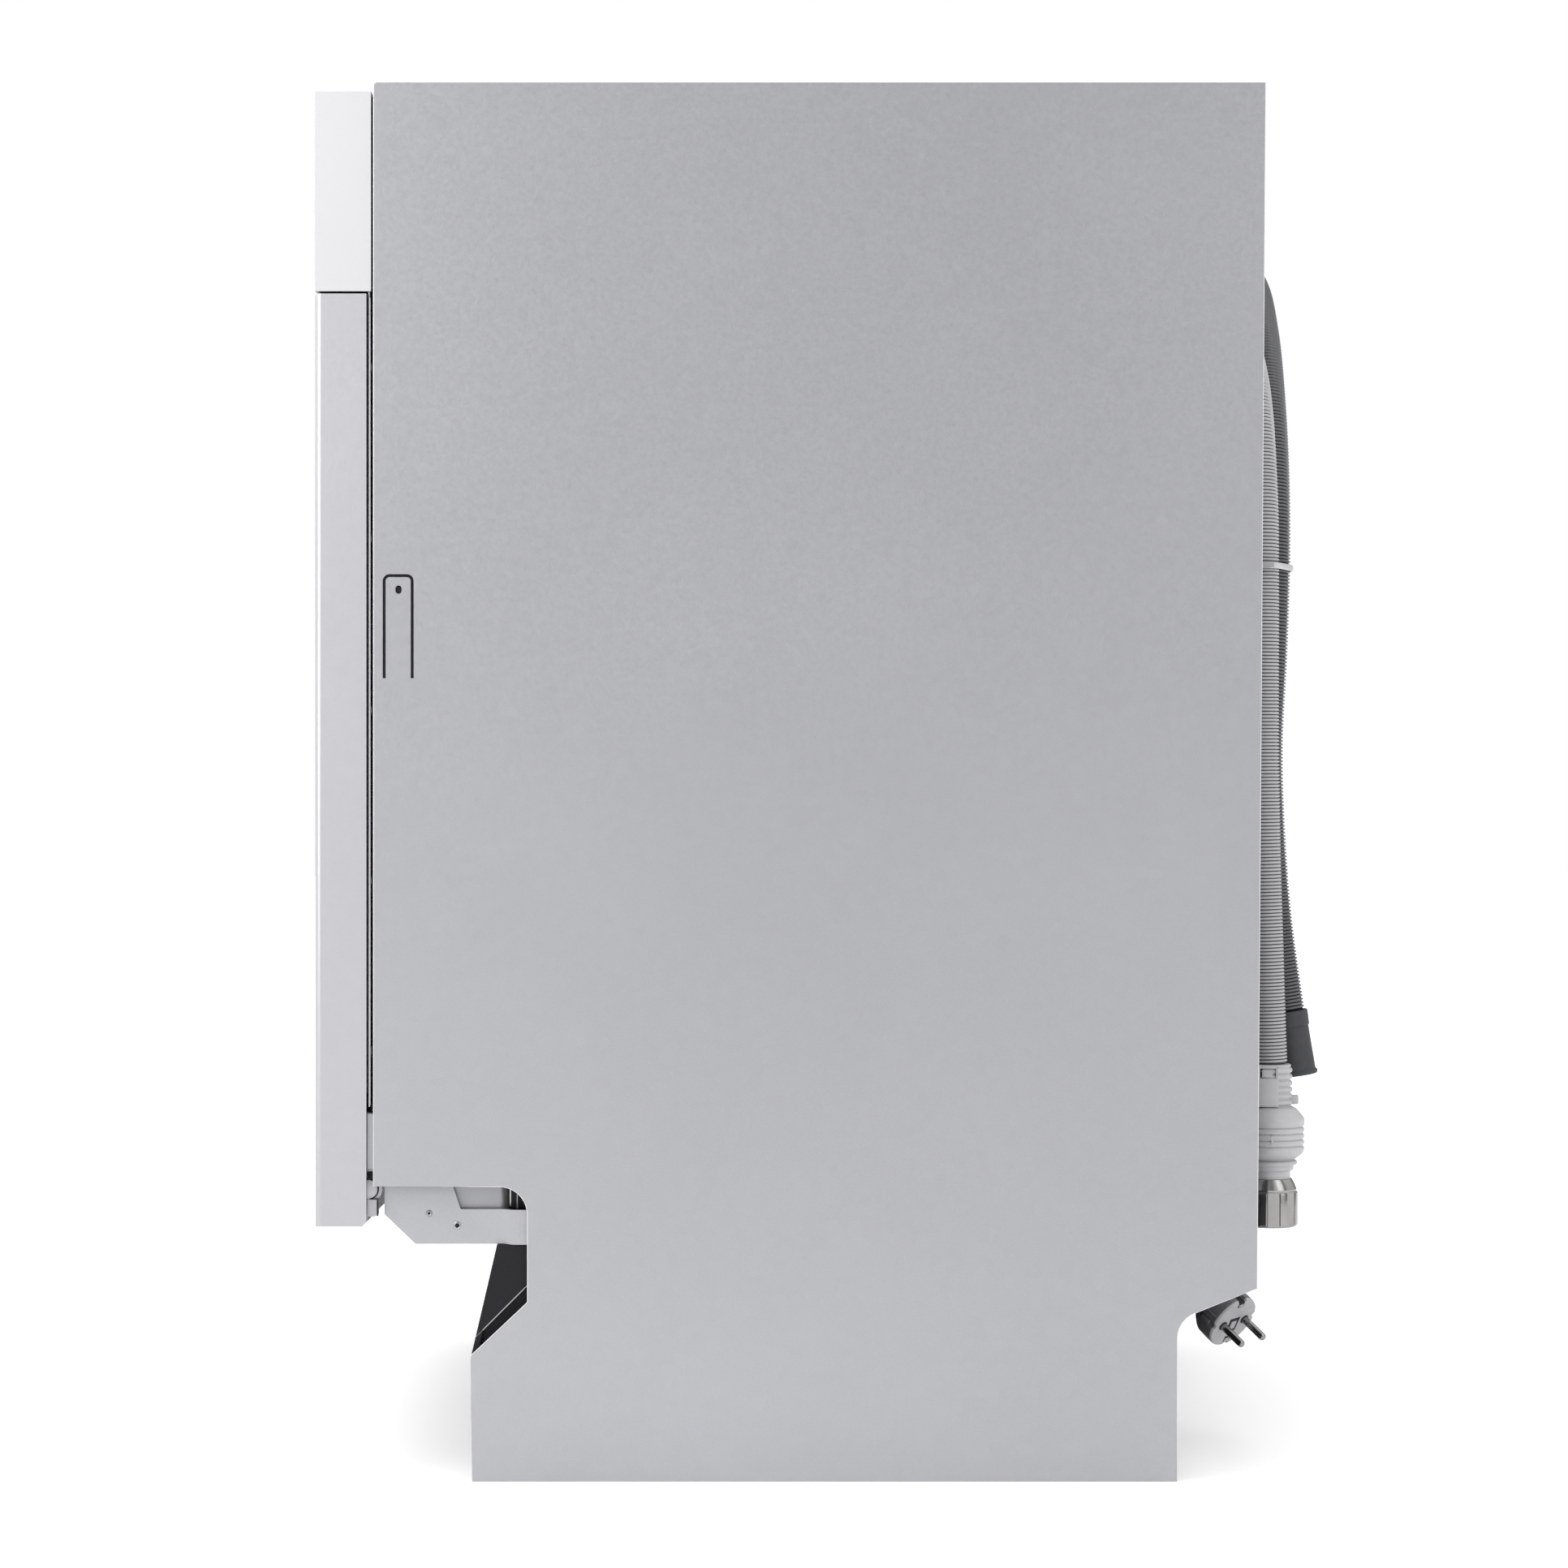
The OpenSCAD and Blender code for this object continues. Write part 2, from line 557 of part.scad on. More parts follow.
module dispenser_body() color([0.55, 0.56, 0.58]) difference() {
  union() {
    box([-103.5, -250, 431.5], [73.5, -226.2, 558.5]);
    box([-174, -225.9, 426], [80, -224.9, 564]);
    box([-103.4, -226.5, 431.6], [73.4, -225, 558.4]);
  }
  box([-95, -247, 442], [-20, -224, 548]);
  rod_y(38, -246, -224, 515, 13);
}

// The lid slides sideways off the detergent cup.
module dispenser_lid() color([0.40, 0.41, 0.43]) {
  box([-98, -224.6, 438], [-16, -222.2, 552]);
  box([-64, -222.4, 486], [-50, -219.5, 504]);
}

module rinse_cap() color([0.40, 0.46, 0.55]) {
  rod_y(38, -224.6, -221.4, 515, 17);
  rod_y(38, -240, -224.4, 515, 12.9);
  box([24, -221.6, 512], [52, -218.6, 518]);
}

// A sprung lever that grips the striker when the door is shut.
module door_latch() color([0.85, 0.85, 0.84]) {
  rod_x(-5, 5, -259, 770, 5);
  box([-3, -262, 770], [3, -256, 790]);
  box([-3, -262, 790], [3, -250, 795.8]);
}

module button(x) {
  rod_y(x, front_y + 0.1, front_y + 7, button_z, button_r);
  rod_y(x, front_y + 7, front_y + 8.4, button_z, button_r + 2);
}
module power_button() color([0.90, 0.90, 0.91]) button(button_x[0]);
module program_button() color([0.90, 0.90, 0.91]) button(button_x[1]);
module start_button() color([0.90, 0.90, 0.91]) button(button_x[2]);

// ---- Hoses and mains lead ----

function unit(v) = v / norm(v);

// A point on the smooth curve through p, at t from p[i] to p[i + 1].
function curve(p, i, t) =
  let (n = len(p) - 1, a = p[max(i - 1, 0)], b = p[i], c = p[i + 1], d = p[min(i + 2, n)])
  0.5 * (2 * b + (c - a) * t + (2 * a - 5 * b + 4 * c - d) * t * t + (3 * b - a - 3 * c + d) * t * t * t);
function samples(p, m) = concat([for (i = [0:len(p) - 2]) for (k = [0:m - 1]) curve(p, i, k / m)], [p[len(p) - 1]]);

// A tube of one closed surface, with a ring of sides at each sample and the two ends square.
module tube(p, r, m, sides, end0, end1) {
  s = samples(p, m);
  n = len(s);
  rings = [for (i = [0:n - 1])
    let (t = i == 0 ? unit(end0) : i == n - 1 ? unit(end1) : unit(s[i + 1] - s[i - 1]),
      u = unit(cross(t, abs(t.x) > 0.9 ? [0, 1, 0] : [1, 0, 0])), v = cross(t, u))
    for (k = [0:sides - 1]) let (a = 360 * k / sides) s[i] + r * (cos(a) * u + sin(a) * v)];
  sides_faces = [for (i = [0:n - 2]) for (k = [0:sides - 1]) let (a = i * sides + k, b = i * sides + (k + 1) % sides)
    each [[a, b, b + sides], [a, b + sides, a + sides]]];
  polyhedron(rings, concat([[for (k = [sides - 1:-1:0]) k]], [for (f = sides_faces) [f[0], f[1], f[2]]],
    [[for (k = [0:sides - 1]) (n - 1) * sides + k]]));
}

module inlet_hose() color([0.72, 0.72, 0.73]) tube(inlet_route, inlet_r, 3, 10, [0, 0, 1], [0, 0, -1]);
module drain_hose() color([0.30, 0.31, 0.33]) tube(drain_route, drain_r, 3, 10, [0, 0, 1], [0, 0.134, -0.991]);
module power_cord() color([0.35, 0.35, 0.37]) tube(lead_route, lead_r, 3, 8, [0, 0, 1], [0.595, 0.582, -0.555]);

module aquastop_valve() color([0.80, 0.80, 0.79]) translate([valve_c.x, valve_c.y, 0]) rotate_extrude()
  polygon([[9, 239.8], [12.7, 239.8], [12.7, 215], [18, 212], [20.4, 206], [20.4, 192], [18, 187], [14.6, 184],
    [14.6, 172.4], [12, 172.4], [12, 161], [9, 161]]);

module inlet_nut() color([0.85, 0.85, 0.86]) translate([valve_c.x, valve_c.y, 0]) difference() {
  translate([0, 0, 143.5]) cylinder(h = 28.5, r = 16.5);
  translate([0, 0, 140]) cylinder(h = 20, r = 13.2);
  translate([0, 0, 159]) cylinder(h = 14, r = 12.2);
}

module drain_cuff() color([0.20, 0.20, 0.21]) translate([226, 299, 269.8]) rotate([7.7, 0, 0]) difference() {
  rotate_extrude() polygon([[0, 0], [12.6, 0], [12.6, -10], [12, -11], [13.4, -38], [14.4, -38.4], [14.4, -41], [0, -41]]);
  translate([0, 0, -42]) cylinder(h = 30, r = 10.5);
}

module power_plug() color([0.62, 0.62, 0.64]) translate(plug_face) rotate(plug_turn) rotate([0, 0, plug_spin]) difference() {
  union() {
    rotate_extrude() polygon([[0, 0], [17, 0], [18.4, -1.4], [18.4, -13], [16, -17], [9, -26], [6, -38], [0, -38]]);
    for (x = [-9.5, 9.5]) translate([x, 0, -4]) cylinder(h = 23, r = 2.4);
  }
  translate([0, 0, -14]) cylinder(h = 15, r = 2.5);
  for (y = [-22.4, 16.4]) translate([-3, y, -14]) cube([6, 6, 15]);
}

side_panel_left();
side_panel_right();
rear_panel();
crossbars();
tub_wrap();
tub_rear_wall();
tub_floor();
tub_frame();
door_gasket();
base_pan();
kick_plate();
hinge_brackets();
hinge_pins();
balance_springs();
latch_striker();
upper_rails();
feed_pipe();
sump();
wash_pump();
wash_impeller();
drain_pump();
softener();
salt_cap();
filter_plate();
filter_cup();
air_break();
flood_float();
hose_hooks();
fasteners();
foot_front_left();
foot_front_right();
foot_rear();
lower_spray_arm();
upper_spray_arm();
upper_feed_duct();
lower_basket();
lower_front_wheels();
lower_rear_wheels();
cutlery_basket();
upper_basket();
cup_shelf();
door_panel();
door_liner();
control_panel();
control_box();
hinge_arms();
dispenser_body();
dispenser_lid();
rinse_cap();
door_latch();
power_button();
program_button();
start_button();
inlet_hose();
aquastop_valve();
inlet_nut();
drain_hose();
drain_cuff();
power_cord();
power_plug();
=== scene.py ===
"""Looks of a built-in dishwasher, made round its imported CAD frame."""
import json
import math

import bmesh
import bpy
import numpy as np
from mathutils import Matrix, Vector


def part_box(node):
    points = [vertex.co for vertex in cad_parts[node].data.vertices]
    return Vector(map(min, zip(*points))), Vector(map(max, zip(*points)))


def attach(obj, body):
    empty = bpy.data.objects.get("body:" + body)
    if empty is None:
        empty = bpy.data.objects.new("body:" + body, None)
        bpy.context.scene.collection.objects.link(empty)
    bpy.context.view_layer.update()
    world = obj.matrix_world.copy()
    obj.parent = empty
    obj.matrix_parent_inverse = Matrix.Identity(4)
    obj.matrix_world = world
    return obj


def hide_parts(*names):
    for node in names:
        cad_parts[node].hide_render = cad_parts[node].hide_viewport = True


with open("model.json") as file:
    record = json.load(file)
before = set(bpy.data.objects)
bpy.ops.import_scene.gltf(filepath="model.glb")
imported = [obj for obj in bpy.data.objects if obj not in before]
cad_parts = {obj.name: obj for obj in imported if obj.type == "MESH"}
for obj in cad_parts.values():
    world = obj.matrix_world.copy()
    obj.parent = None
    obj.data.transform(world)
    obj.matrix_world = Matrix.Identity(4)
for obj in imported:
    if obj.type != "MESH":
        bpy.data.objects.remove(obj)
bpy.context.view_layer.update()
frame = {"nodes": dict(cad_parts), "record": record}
NODES = frame["nodes"]
MM = 0.001
UP, BACK = Vector((0, 0, 1)), Vector((0, 1, 0))


def show(name, data):
    """A new object in the scene, round its mesh, curve, camera or light."""
    obj = bpy.data.objects.new(name, data)
    bpy.context.scene.collection.objects.link(obj)
    return obj


def node_box(name):
    """A CAD node's lowest and highest corners, in millimetres."""
    low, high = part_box(name)
    return low / MM, high / MM


SIDE_LOW, SIDE_HIGH = node_box("side_panel_right")
DOOR_LOW, DOOR_HIGH = node_box("door_panel")
PIN_LOW, PIN_HIGH = node_box("hinge_pins")
SIDE_Y = SIDE_LOW.y
PANEL_SETBACK = 1.4         # how far the casing's front edge lies behind the side panel's
CAB_Y = SIDE_Y + PANEL_SETBACK
REAR_Y = SIDE_HIGH.y
FRONT_Y = DOOR_LOW.y
HINGE = Vector((0, (PIN_LOW.y + PIN_HIGH.y) / 2, (PIN_LOW.z + PIN_HIGH.z) / 2))


# ---- Shapes ----

def strip(count, sides, closed=False):
    """Quads that join count rings, each of the given number of points."""
    faces = []
    for i in range(count if closed else count - 1):
        j = (i + 1) % count
        for k in range(sides):
            m = (k + 1) % sides
            faces.append([i * sides + k, i * sides + m, j * sides + m, j * sides + k])
    return faces


class Shape:
    """Vertices and faces in millimetres, gathered before they become one mesh."""

    def __init__(self):
        self.verts, self.faces, self.marks = [], [], []

    def add(self, verts, faces, matrix=None, mark=0):
        base = len(self.verts)
        if matrix is not None:
            verts = [matrix @ Vector(v) for v in verts]
        self.verts.extend(tuple(v) for v in verts)
        self.faces.extend([[base + i for i in f] for f in faces])
        self.marks.extend([mark] * len(faces))
        return self

    def box(self, low, high, r=0.4, matrix=None, mark=0, segments=2):
        """A box with its edges rounded to r."""
        low, high = Vector(low), Vector(high)
        bm = bmesh.new()
        bmesh.ops.create_cube(bm, size=1)
        size = high - low
        for v in bm.verts:
            share = v.co + Vector((0.5, 0.5, 0.5))
            v.co = Vector((share.x * size.x, share.y * size.y, share.z * size.z)) + low
        r = min(r, min(size) * 0.45)
        if r > 0:
            bmesh.ops.bevel(bm, geom=bm.edges[:], offset=r, segments=segments, profile=0.5, affect="EDGES")
        bm.verts.index_update()
        verts = [v.co.copy() for v in bm.verts]
        faces = [[v.index for v in f.verts] for f in bm.faces]
        bm.free()
        self.add(verts, faces, matrix, mark)
        return self

    def revolve(self, profile, sides=48, matrix=None, mark=0, closed=False):
        """A profile of (radius, height) points turned about Z. A closed profile makes a ring."""
        n = len(profile)
        angles = [2 * math.pi * k / sides for k in range(sides)]
        verts = [(r * math.cos(a), r * math.sin(a), z) for r, z in profile for a in angles]
        faces = strip(n, sides, closed)
        if not closed:
            if profile[0][0] > 1e-6:
                faces.append(list(range(sides))[::-1])
            if profile[-1][0] > 1e-6:
                faces.append([(n - 1) * sides + k for k in range(sides)])
        return self.add(verts, faces, matrix, mark)

    def tube(self, points, radius, sides=10, caps=True, closed=False, matrix=None, mark=0, marks=None):
        """A round tube along points. radius is one number or one for each point."""
        verts, faces = tube_mesh(points, radius, sides, closed)
        base = len(self.faces)
        self.add(verts, faces, matrix, mark)
        if marks is not None:
            self.marks[base:] = [marks[i // sides] for i in range(len(faces))]
        if caps and not closed:
            n = len(points)
            first = len(self.verts) - n * sides
            self.faces.append([first + k for k in range(sides)][::-1])
            self.faces.append([first + (n - 1) * sides + k for k in range(sides)])
            self.marks.extend([mark, mark])
        return self

    def prism(self, outline, low, high, matrix=None, mark=0):
        """An outline of (x, y) points, from height low to high."""
        n = len(outline)
        verts = [(x, y, low) for x, y in outline] + [(x, y, high) for x, y in outline]
        faces = [list(range(n))[::-1], list(range(n, 2 * n))]
        faces += [[i, (i + 1) % n, n + (i + 1) % n, n + i] for i in range(n)]
        return self.add(verts, faces, matrix, mark)

    def loft(self, rings, matrix=None, mark=0):
        """A skin over rings of equal point counts, closed at both ends."""
        n = len(rings[0])
        verts = [p for ring in rings for p in ring]
        faces = strip(len(rings), n)
        faces.append(list(range(n))[::-1])
        faces.append([(len(rings) - 1) * n + k for k in range(n)])
        return self.add(verts, faces, matrix, mark)

    def mirrored(self):
        """Adds the same shape on the other side of X = 0."""
        n = len(self.verts)
        self.verts += [(-x, y, z) for x, y, z in self.verts]
        self.faces += [[n + i for i in f][::-1] for f in self.faces]
        self.marks += list(self.marks)
        return self

    def piece(self, name, body, slot, *more, finish=None, replaces=(), smooth=38, weld=True):
        """Makes the mesh and rides it on its body. slot and more, or finish and more, finish its marks."""
        mesh = bpy.data.meshes.new(name)
        mesh.from_pydata([(x * MM, y * MM, z * MM) for x, y, z in self.verts], [], self.faces)
        for s in (finish or slot, *more):
            mesh.materials.append(MATERIALS[s])
        mesh.polygons.foreach_set("material_index", self.marks)
        bm = bmesh.new()
        bm.from_mesh(mesh)
        if weld:
            bmesh.ops.remove_doubles(bm, verts=bm.verts, dist=1e-7)
            bmesh.ops.dissolve_degenerate(bm, edges=bm.edges, dist=1e-7)
        bmesh.ops.recalc_face_normals(bm, faces=bm.faces)
        bm.to_mesh(mesh)
        bm.free()
        mesh.shade_smooth()
        mesh.set_sharp_from_angle(angle=math.radians(smooth))
        obj = show(name, mesh)
        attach(obj, body)
        if replaces:
            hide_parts(*replaces)
        return obj


def tube_mesh(points, radius, sides, closed):
    """Rings of vertices along points, whose frames turn as little as they can."""
    p = np.array([tuple(v) for v in points], float)
    n = len(p)
    if closed:
        tangents = np.roll(p, -1, 0) - np.roll(p, 1, 0)
    else:
        tangents = np.gradient(p, axis=0)
    tangents /= np.linalg.norm(tangents, axis=1)[:, None]
    first = np.cross(tangents[0], [0, 0, 1] if abs(tangents[0][2]) < 0.9 else [1, 0, 0])
    first /= np.linalg.norm(first)
    normals = [first]
    for t in tangents[1:]:
        v = normals[-1] - t * (normals[-1] @ t)
        normals.append(v / np.linalg.norm(v))
    normals = np.array(normals)
    sideways = np.cross(tangents, normals)
    angles = 2 * np.pi * np.arange(sides) / sides
    r = np.broadcast_to(np.array(radius, float), (n,))
    across = np.cos(angles)[None, :, None] * normals[:, None, :]
    upward = np.sin(angles)[None, :, None] * sideways[:, None, :]
    verts = p[:, None, :] + r[:, None, None] * (across + upward)
    return verts.reshape(-1, 3).tolist(), strip(n, sides, closed)


def arc(cx, cy, r, a0, a1, n=8):
    """Points of an arc in a plane, with its angles in degrees."""
    angles = [math.radians(a0 + (a1 - a0) * i / n) for i in range(n + 1)]
    return [(cx + r * math.cos(a), cy + r * math.sin(a)) for a in angles]


def rounded(points, r, n=5, closed=False):
    """A path with each of its corners rounded to r."""
    pts = [Vector(p) for p in points]
    out = []
    count = len(pts)
    for i, p in enumerate(pts):
        if not closed and i in (0, count - 1):
            out.append(p)
            continue
        a, b = (pts[i - 1] - p), (pts[(i + 1) % count] - p)
        cut = min(r, a.length * 0.48, b.length * 0.48)
        start, end = p + a.normalized() * cut, p + b.normalized() * cut
        for k in range(n + 1):
            t = k / n
            out.append(start * (1 - t) ** 2 + p * 2 * t * (1 - t) + end * t * t)
    return out


def curve_through(points, steps):
    """A smooth curve through points, the same one that the hoses' CAD solids follow."""
    p = np.array(points, float)
    last = len(p) - 1
    out = []
    for i in range(last):
        a, b, c, d = p[max(i - 1, 0)], p[i], p[i + 1], p[min(i + 2, last)]
        for k in range(steps):
            t = k / steps
            out.append(0.5 * (2 * b + (c - a) * t + (2 * a - 5 * b + 4 * c - d) * t ** 2
                              + (3 * b - a - 3 * c + d) * t ** 3))
    out.append(p[last])
    return np.array(out)


def distances(points):
    """Distance along the points from the first one."""
    return np.concatenate([[0], np.cumsum(np.linalg.norm(np.diff(points, axis=0), axis=1))])


def at_distances(points, along):
    """Points at the given distances along a curve."""
    s = distances(points)
    return np.stack([np.interp(along, s, points[:, k]) for k in range(3)], axis=1)


def moved(x, y, z):
    return Matrix.Translation((x, y, z))


def turned(degrees, axis="Z"):
    return Matrix.Rotation(math.radians(degrees), 4, axis)


TO_RIGHT = turned(90, "Y")      # Z of a shape points to +X
TO_FRONT = turned(90, "X")      # Z of a shape points to -Y
TO_BACK = turned(-90, "X")      # Z of a shape points to +Y
FACING_RIGHT = Matrix(((0, 0, 1, 0), (1, 0, 0, 0), (0, 1, 0, 0), (0, 0, 0, 1)))     # X, Y, Z to Y, Z, X


def soften(obj, width, segments=2, flat=False):
    """Rounds the sharp edges of a piece or CAD node with modifiers, after merging the faces of a flat one."""
    weld = obj.modifiers.new("weld", "WELD")
    weld.merge_threshold = 2e-6
    if flat:
        merged = obj.modifiers.new("merged", "DECIMATE")
        merged.decimate_type = "DISSOLVE"
        merged.angle_limit = math.radians(0.5)
    bevel = obj.modifiers.new("edges", "BEVEL")
    bevel.width = width * MM
    bevel.segments = segments
    bevel.limit_method = "ANGLE"
    bevel.angle_limit = math.radians(40)
    even = obj.modifiers.new("even", "WEIGHTED_NORMAL")
    even.keep_sharp = True


# ---- Materials ----

class Finish:
    """A Principled material whose colour, roughness and bump vary over the piece's own space."""

    def __init__(self, name, colour, rough, metal=0.0, specular=0.5):
        self.material = bpy.data.materials.new(name)
        self.material.use_nodes = True
        self.tree = self.material.node_tree
        self.shader = self.tree.nodes["Principled BSDF"]
        self.shader.inputs["Metallic"].default_value = metal
        self.shader.inputs["Specular IOR Level"].default_value = specular
        self.where = self.tree.nodes.new("ShaderNodeTexCoord").outputs["Object"]
        self.colour = tuple(colour)
        self.rough = rough
        self.colour_out = None
        self.height = None

    def link(self, a, b):
        self.tree.links.new(a, b)

    def texture(self, kind, scale, stretch=(1, 1, 1)):
        mapping = self.tree.nodes.new("ShaderNodeMapping")
        mapping.inputs["Scale"].default_value = stretch
        self.link(self.where, mapping.inputs["Vector"])
        node = self.tree.nodes.new(kind)
        node.inputs["Scale"].default_value = scale
        self.link(mapping.outputs["Vector"], node.inputs["Vector"])
        return node

    def noise(self, scale, detail=2.0, stretch=(1, 1, 1)):
        node = self.texture("ShaderNodeTexNoise", scale, stretch)
        node.inputs["Detail"].default_value = detail
        return node.outputs["Fac"]

    def cells(self, scale):
        return self.texture("ShaderNodeTexVoronoi", scale)

    def ranged(self, value, low, high, start=0.25, end=0.75):
        node = self.tree.nodes.new("ShaderNodeMapRange")
        for name, v in (("From Min", start), ("From Max", end), ("To Min", low), ("To Max", high)):
            node.inputs[name].default_value = v
        self.link(value, node.inputs["Value"])
        return node.outputs["Result"]

    def shade(self, value, amount, start=0.25, end=0.75):
        """Darkens and lightens the colour by amount where value is low and high."""
        factor = self.ranged(value, 1 - amount, 1 + amount, start, end)
        node = self.tree.nodes.new("ShaderNodeVectorMath")
        node.operation = "SCALE"
        self.link(factor, node.inputs["Scale"])
        if self.colour_out is None:
            node.inputs[0].default_value = self.colour
        else:
            self.link(self.colour_out, node.inputs[0])
        self.colour_out = node.outputs["Vector"]
        return self

    def tint(self, value, other, start, end):
        """Mixes in another colour where value goes from start to end."""
        factor = self.ranged(value, 0, 1, start, end)
        node = self.tree.nodes.new("ShaderNodeMix")
        node.data_type = "RGBA"
        self.link(factor, node.inputs["Factor"])
        if self.colour_out is None:
            node.inputs["A"].default_value = (*self.colour, 1)
        else:
            self.link(self.colour_out, node.inputs["A"])
        node.inputs["B"].default_value = (*other, 1)
        self.colour_out = node.outputs["Result"]
        return self

    def roughen(self, value, amount):
        rough = self.ranged(value, self.rough - amount, self.rough + amount)
        self.link(rough, self.shader.inputs["Roughness"])
        return self

    def bump(self, value, distance, strength=1.0):
        node = self.tree.nodes.new("ShaderNodeBump")
        node.inputs["Strength"].default_value = strength
        node.inputs["Distance"].default_value = distance * MM
        self.link(value, node.inputs["Height"])
        if self.height is not None:
            self.link(self.height, node.inputs["Normal"])
        self.height = node.outputs["Normal"]
        return self

    def done(self):
        base = self.shader.inputs["Base Color"]
        if self.colour_out is None:
            base.default_value = (*self.colour, 1)
        else:
            self.link(self.colour_out, base)
        if not self.shader.inputs["Roughness"].is_linked:
            self.shader.inputs["Roughness"].default_value = self.rough
        if self.height is not None:
            self.link(self.height, self.shader.inputs["Normal"])
        return self.material


def sheet_metal(name, colour, rough, metal, cloud=0.03, grain=0.035):
    """Galvanised or coated sheet: slow clouds, a fine grain and faint rolling lines."""
    f = Finish(name, colour, rough, metal)
    f.shade(f.noise(5, 3), cloud).shade(f.noise(1100, 2), grain)
    f.shade(f.cells(160).outputs["Color"], 0.012, 0.0, 1.0)
    f.roughen(f.noise(420, 2), 0.05)
    return f.bump(f.noise(1500, 2), 0.012, 0.35).bump(f.noise(14, 2), 0.10, 0.25).done()


def brushed_steel(name, colour, rough, stretch):
    """Stainless steel with a brushed finish along one direction."""
    f = Finish(name, colour, rough, 1.0)
    lines = f.noise(900, 2, stretch)
    f.shade(lines, 0.025).shade(f.noise(3, 2), 0.03)
    return f.roughen(lines, 0.03).bump(lines, 0.006, 0.3).done()


def moulded(name, colour, rough, texture=650, depth=0.02, vary=0.03, specular=0.5):
    """Moulded plastic with a spark-eroded grain."""
    f = Finish(name, colour, rough, 0.0, specular)
    f.shade(f.noise(7, 2), vary).shade(f.noise(texture, 2), vary)
    f.roughen(f.noise(texture * 0.7, 2), 0.06)
    return f.bump(f.noise(texture, 2), depth, 0.6).done()


def rubber(name, colour, rough):
    """Dull rubber with faint bloom."""
    f = Finish(name, colour, rough, 0.0, 0.35)
    bloom = tuple(min(1, c * 1.7 + 0.01) for c in colour)
    f.shade(f.noise(500, 3), 0.08).tint(f.noise(22, 3), bloom, 0.55, 0.9)
    return f.roughen(f.noise(300, 2), 0.07).bump(f.noise(800, 3), 0.03, 0.6).done()


def plated(name, colour, rough):
    """Bright plated metal with fine turning marks and slight wear."""
    f = Finish(name, colour, rough, 1.0)
    marks = f.noise(300, 2, (1, 1, 12))
    f.shade(marks, 0.05).tint(f.noise(60, 3), tuple(c * 0.55 for c in colour), 0.62, 0.95)
    return f.roughen(f.noise(200, 2), 0.04).bump(marks, 0.006, 0.4).done()


def coated_wire(name, colour):
    """Wire dipped in nylon: glossy, with a slight orange peel."""
    f = Finish(name, colour, 0.34, 0.0, 0.5)
    f.shade(f.noise(60, 2), 0.05)
    f.shader.inputs["Coat Weight"].default_value = 0.3
    f.shader.inputs["Coat Roughness"].default_value = 0.2
    return f.roughen(f.noise(250, 2), 0.06).bump(f.noise(420, 1), 0.03, 0.5).done()


def mesh_steel(name, colour):
    """Fine perforated steel: round holes in a regular grid, tinted near black as painted shade."""
    f = Finish(name, colour, 0.3, 1.0)
    holes = f.cells(480)
    holes.inputs["Randomness"].default_value = 0.0
    # The holes are tinted near black: painted shade.
    f.shade(f.noise(9, 2), 0.05).tint(holes.outputs["Distance"], (0.02, 0.02, 0.02), 0.34, 0.26)
    return f.bump(f.ranged(holes.outputs["Distance"], 0, 1, 0.24, 0.36), 0.2, 0.8).done()


def dark_glass(name):
    """The display's smoked window, with fine dust and cast ripple."""
    f = Finish(name, (0.006, 0.007, 0.009), 0.06, 0.0, 0.6)
    f.shader.inputs["Coat Weight"].default_value = 0.5
    f.shade(f.noise(200, 2), 0.2)
    return f.roughen(f.noise(90, 2), 0.03).bump(f.noise(12, 1), 0.02, 0.2).done()


def glowing(name, colour, strength):
    """A lit segment behind the display glass."""
    f = Finish(name, colour, 0.4)
    f.shader.inputs["Emission Color"].default_value = (*colour, 1)
    f.shader.inputs["Emission Strength"].default_value = strength
    return f.shade(f.noise(900, 1), 0.1).done()


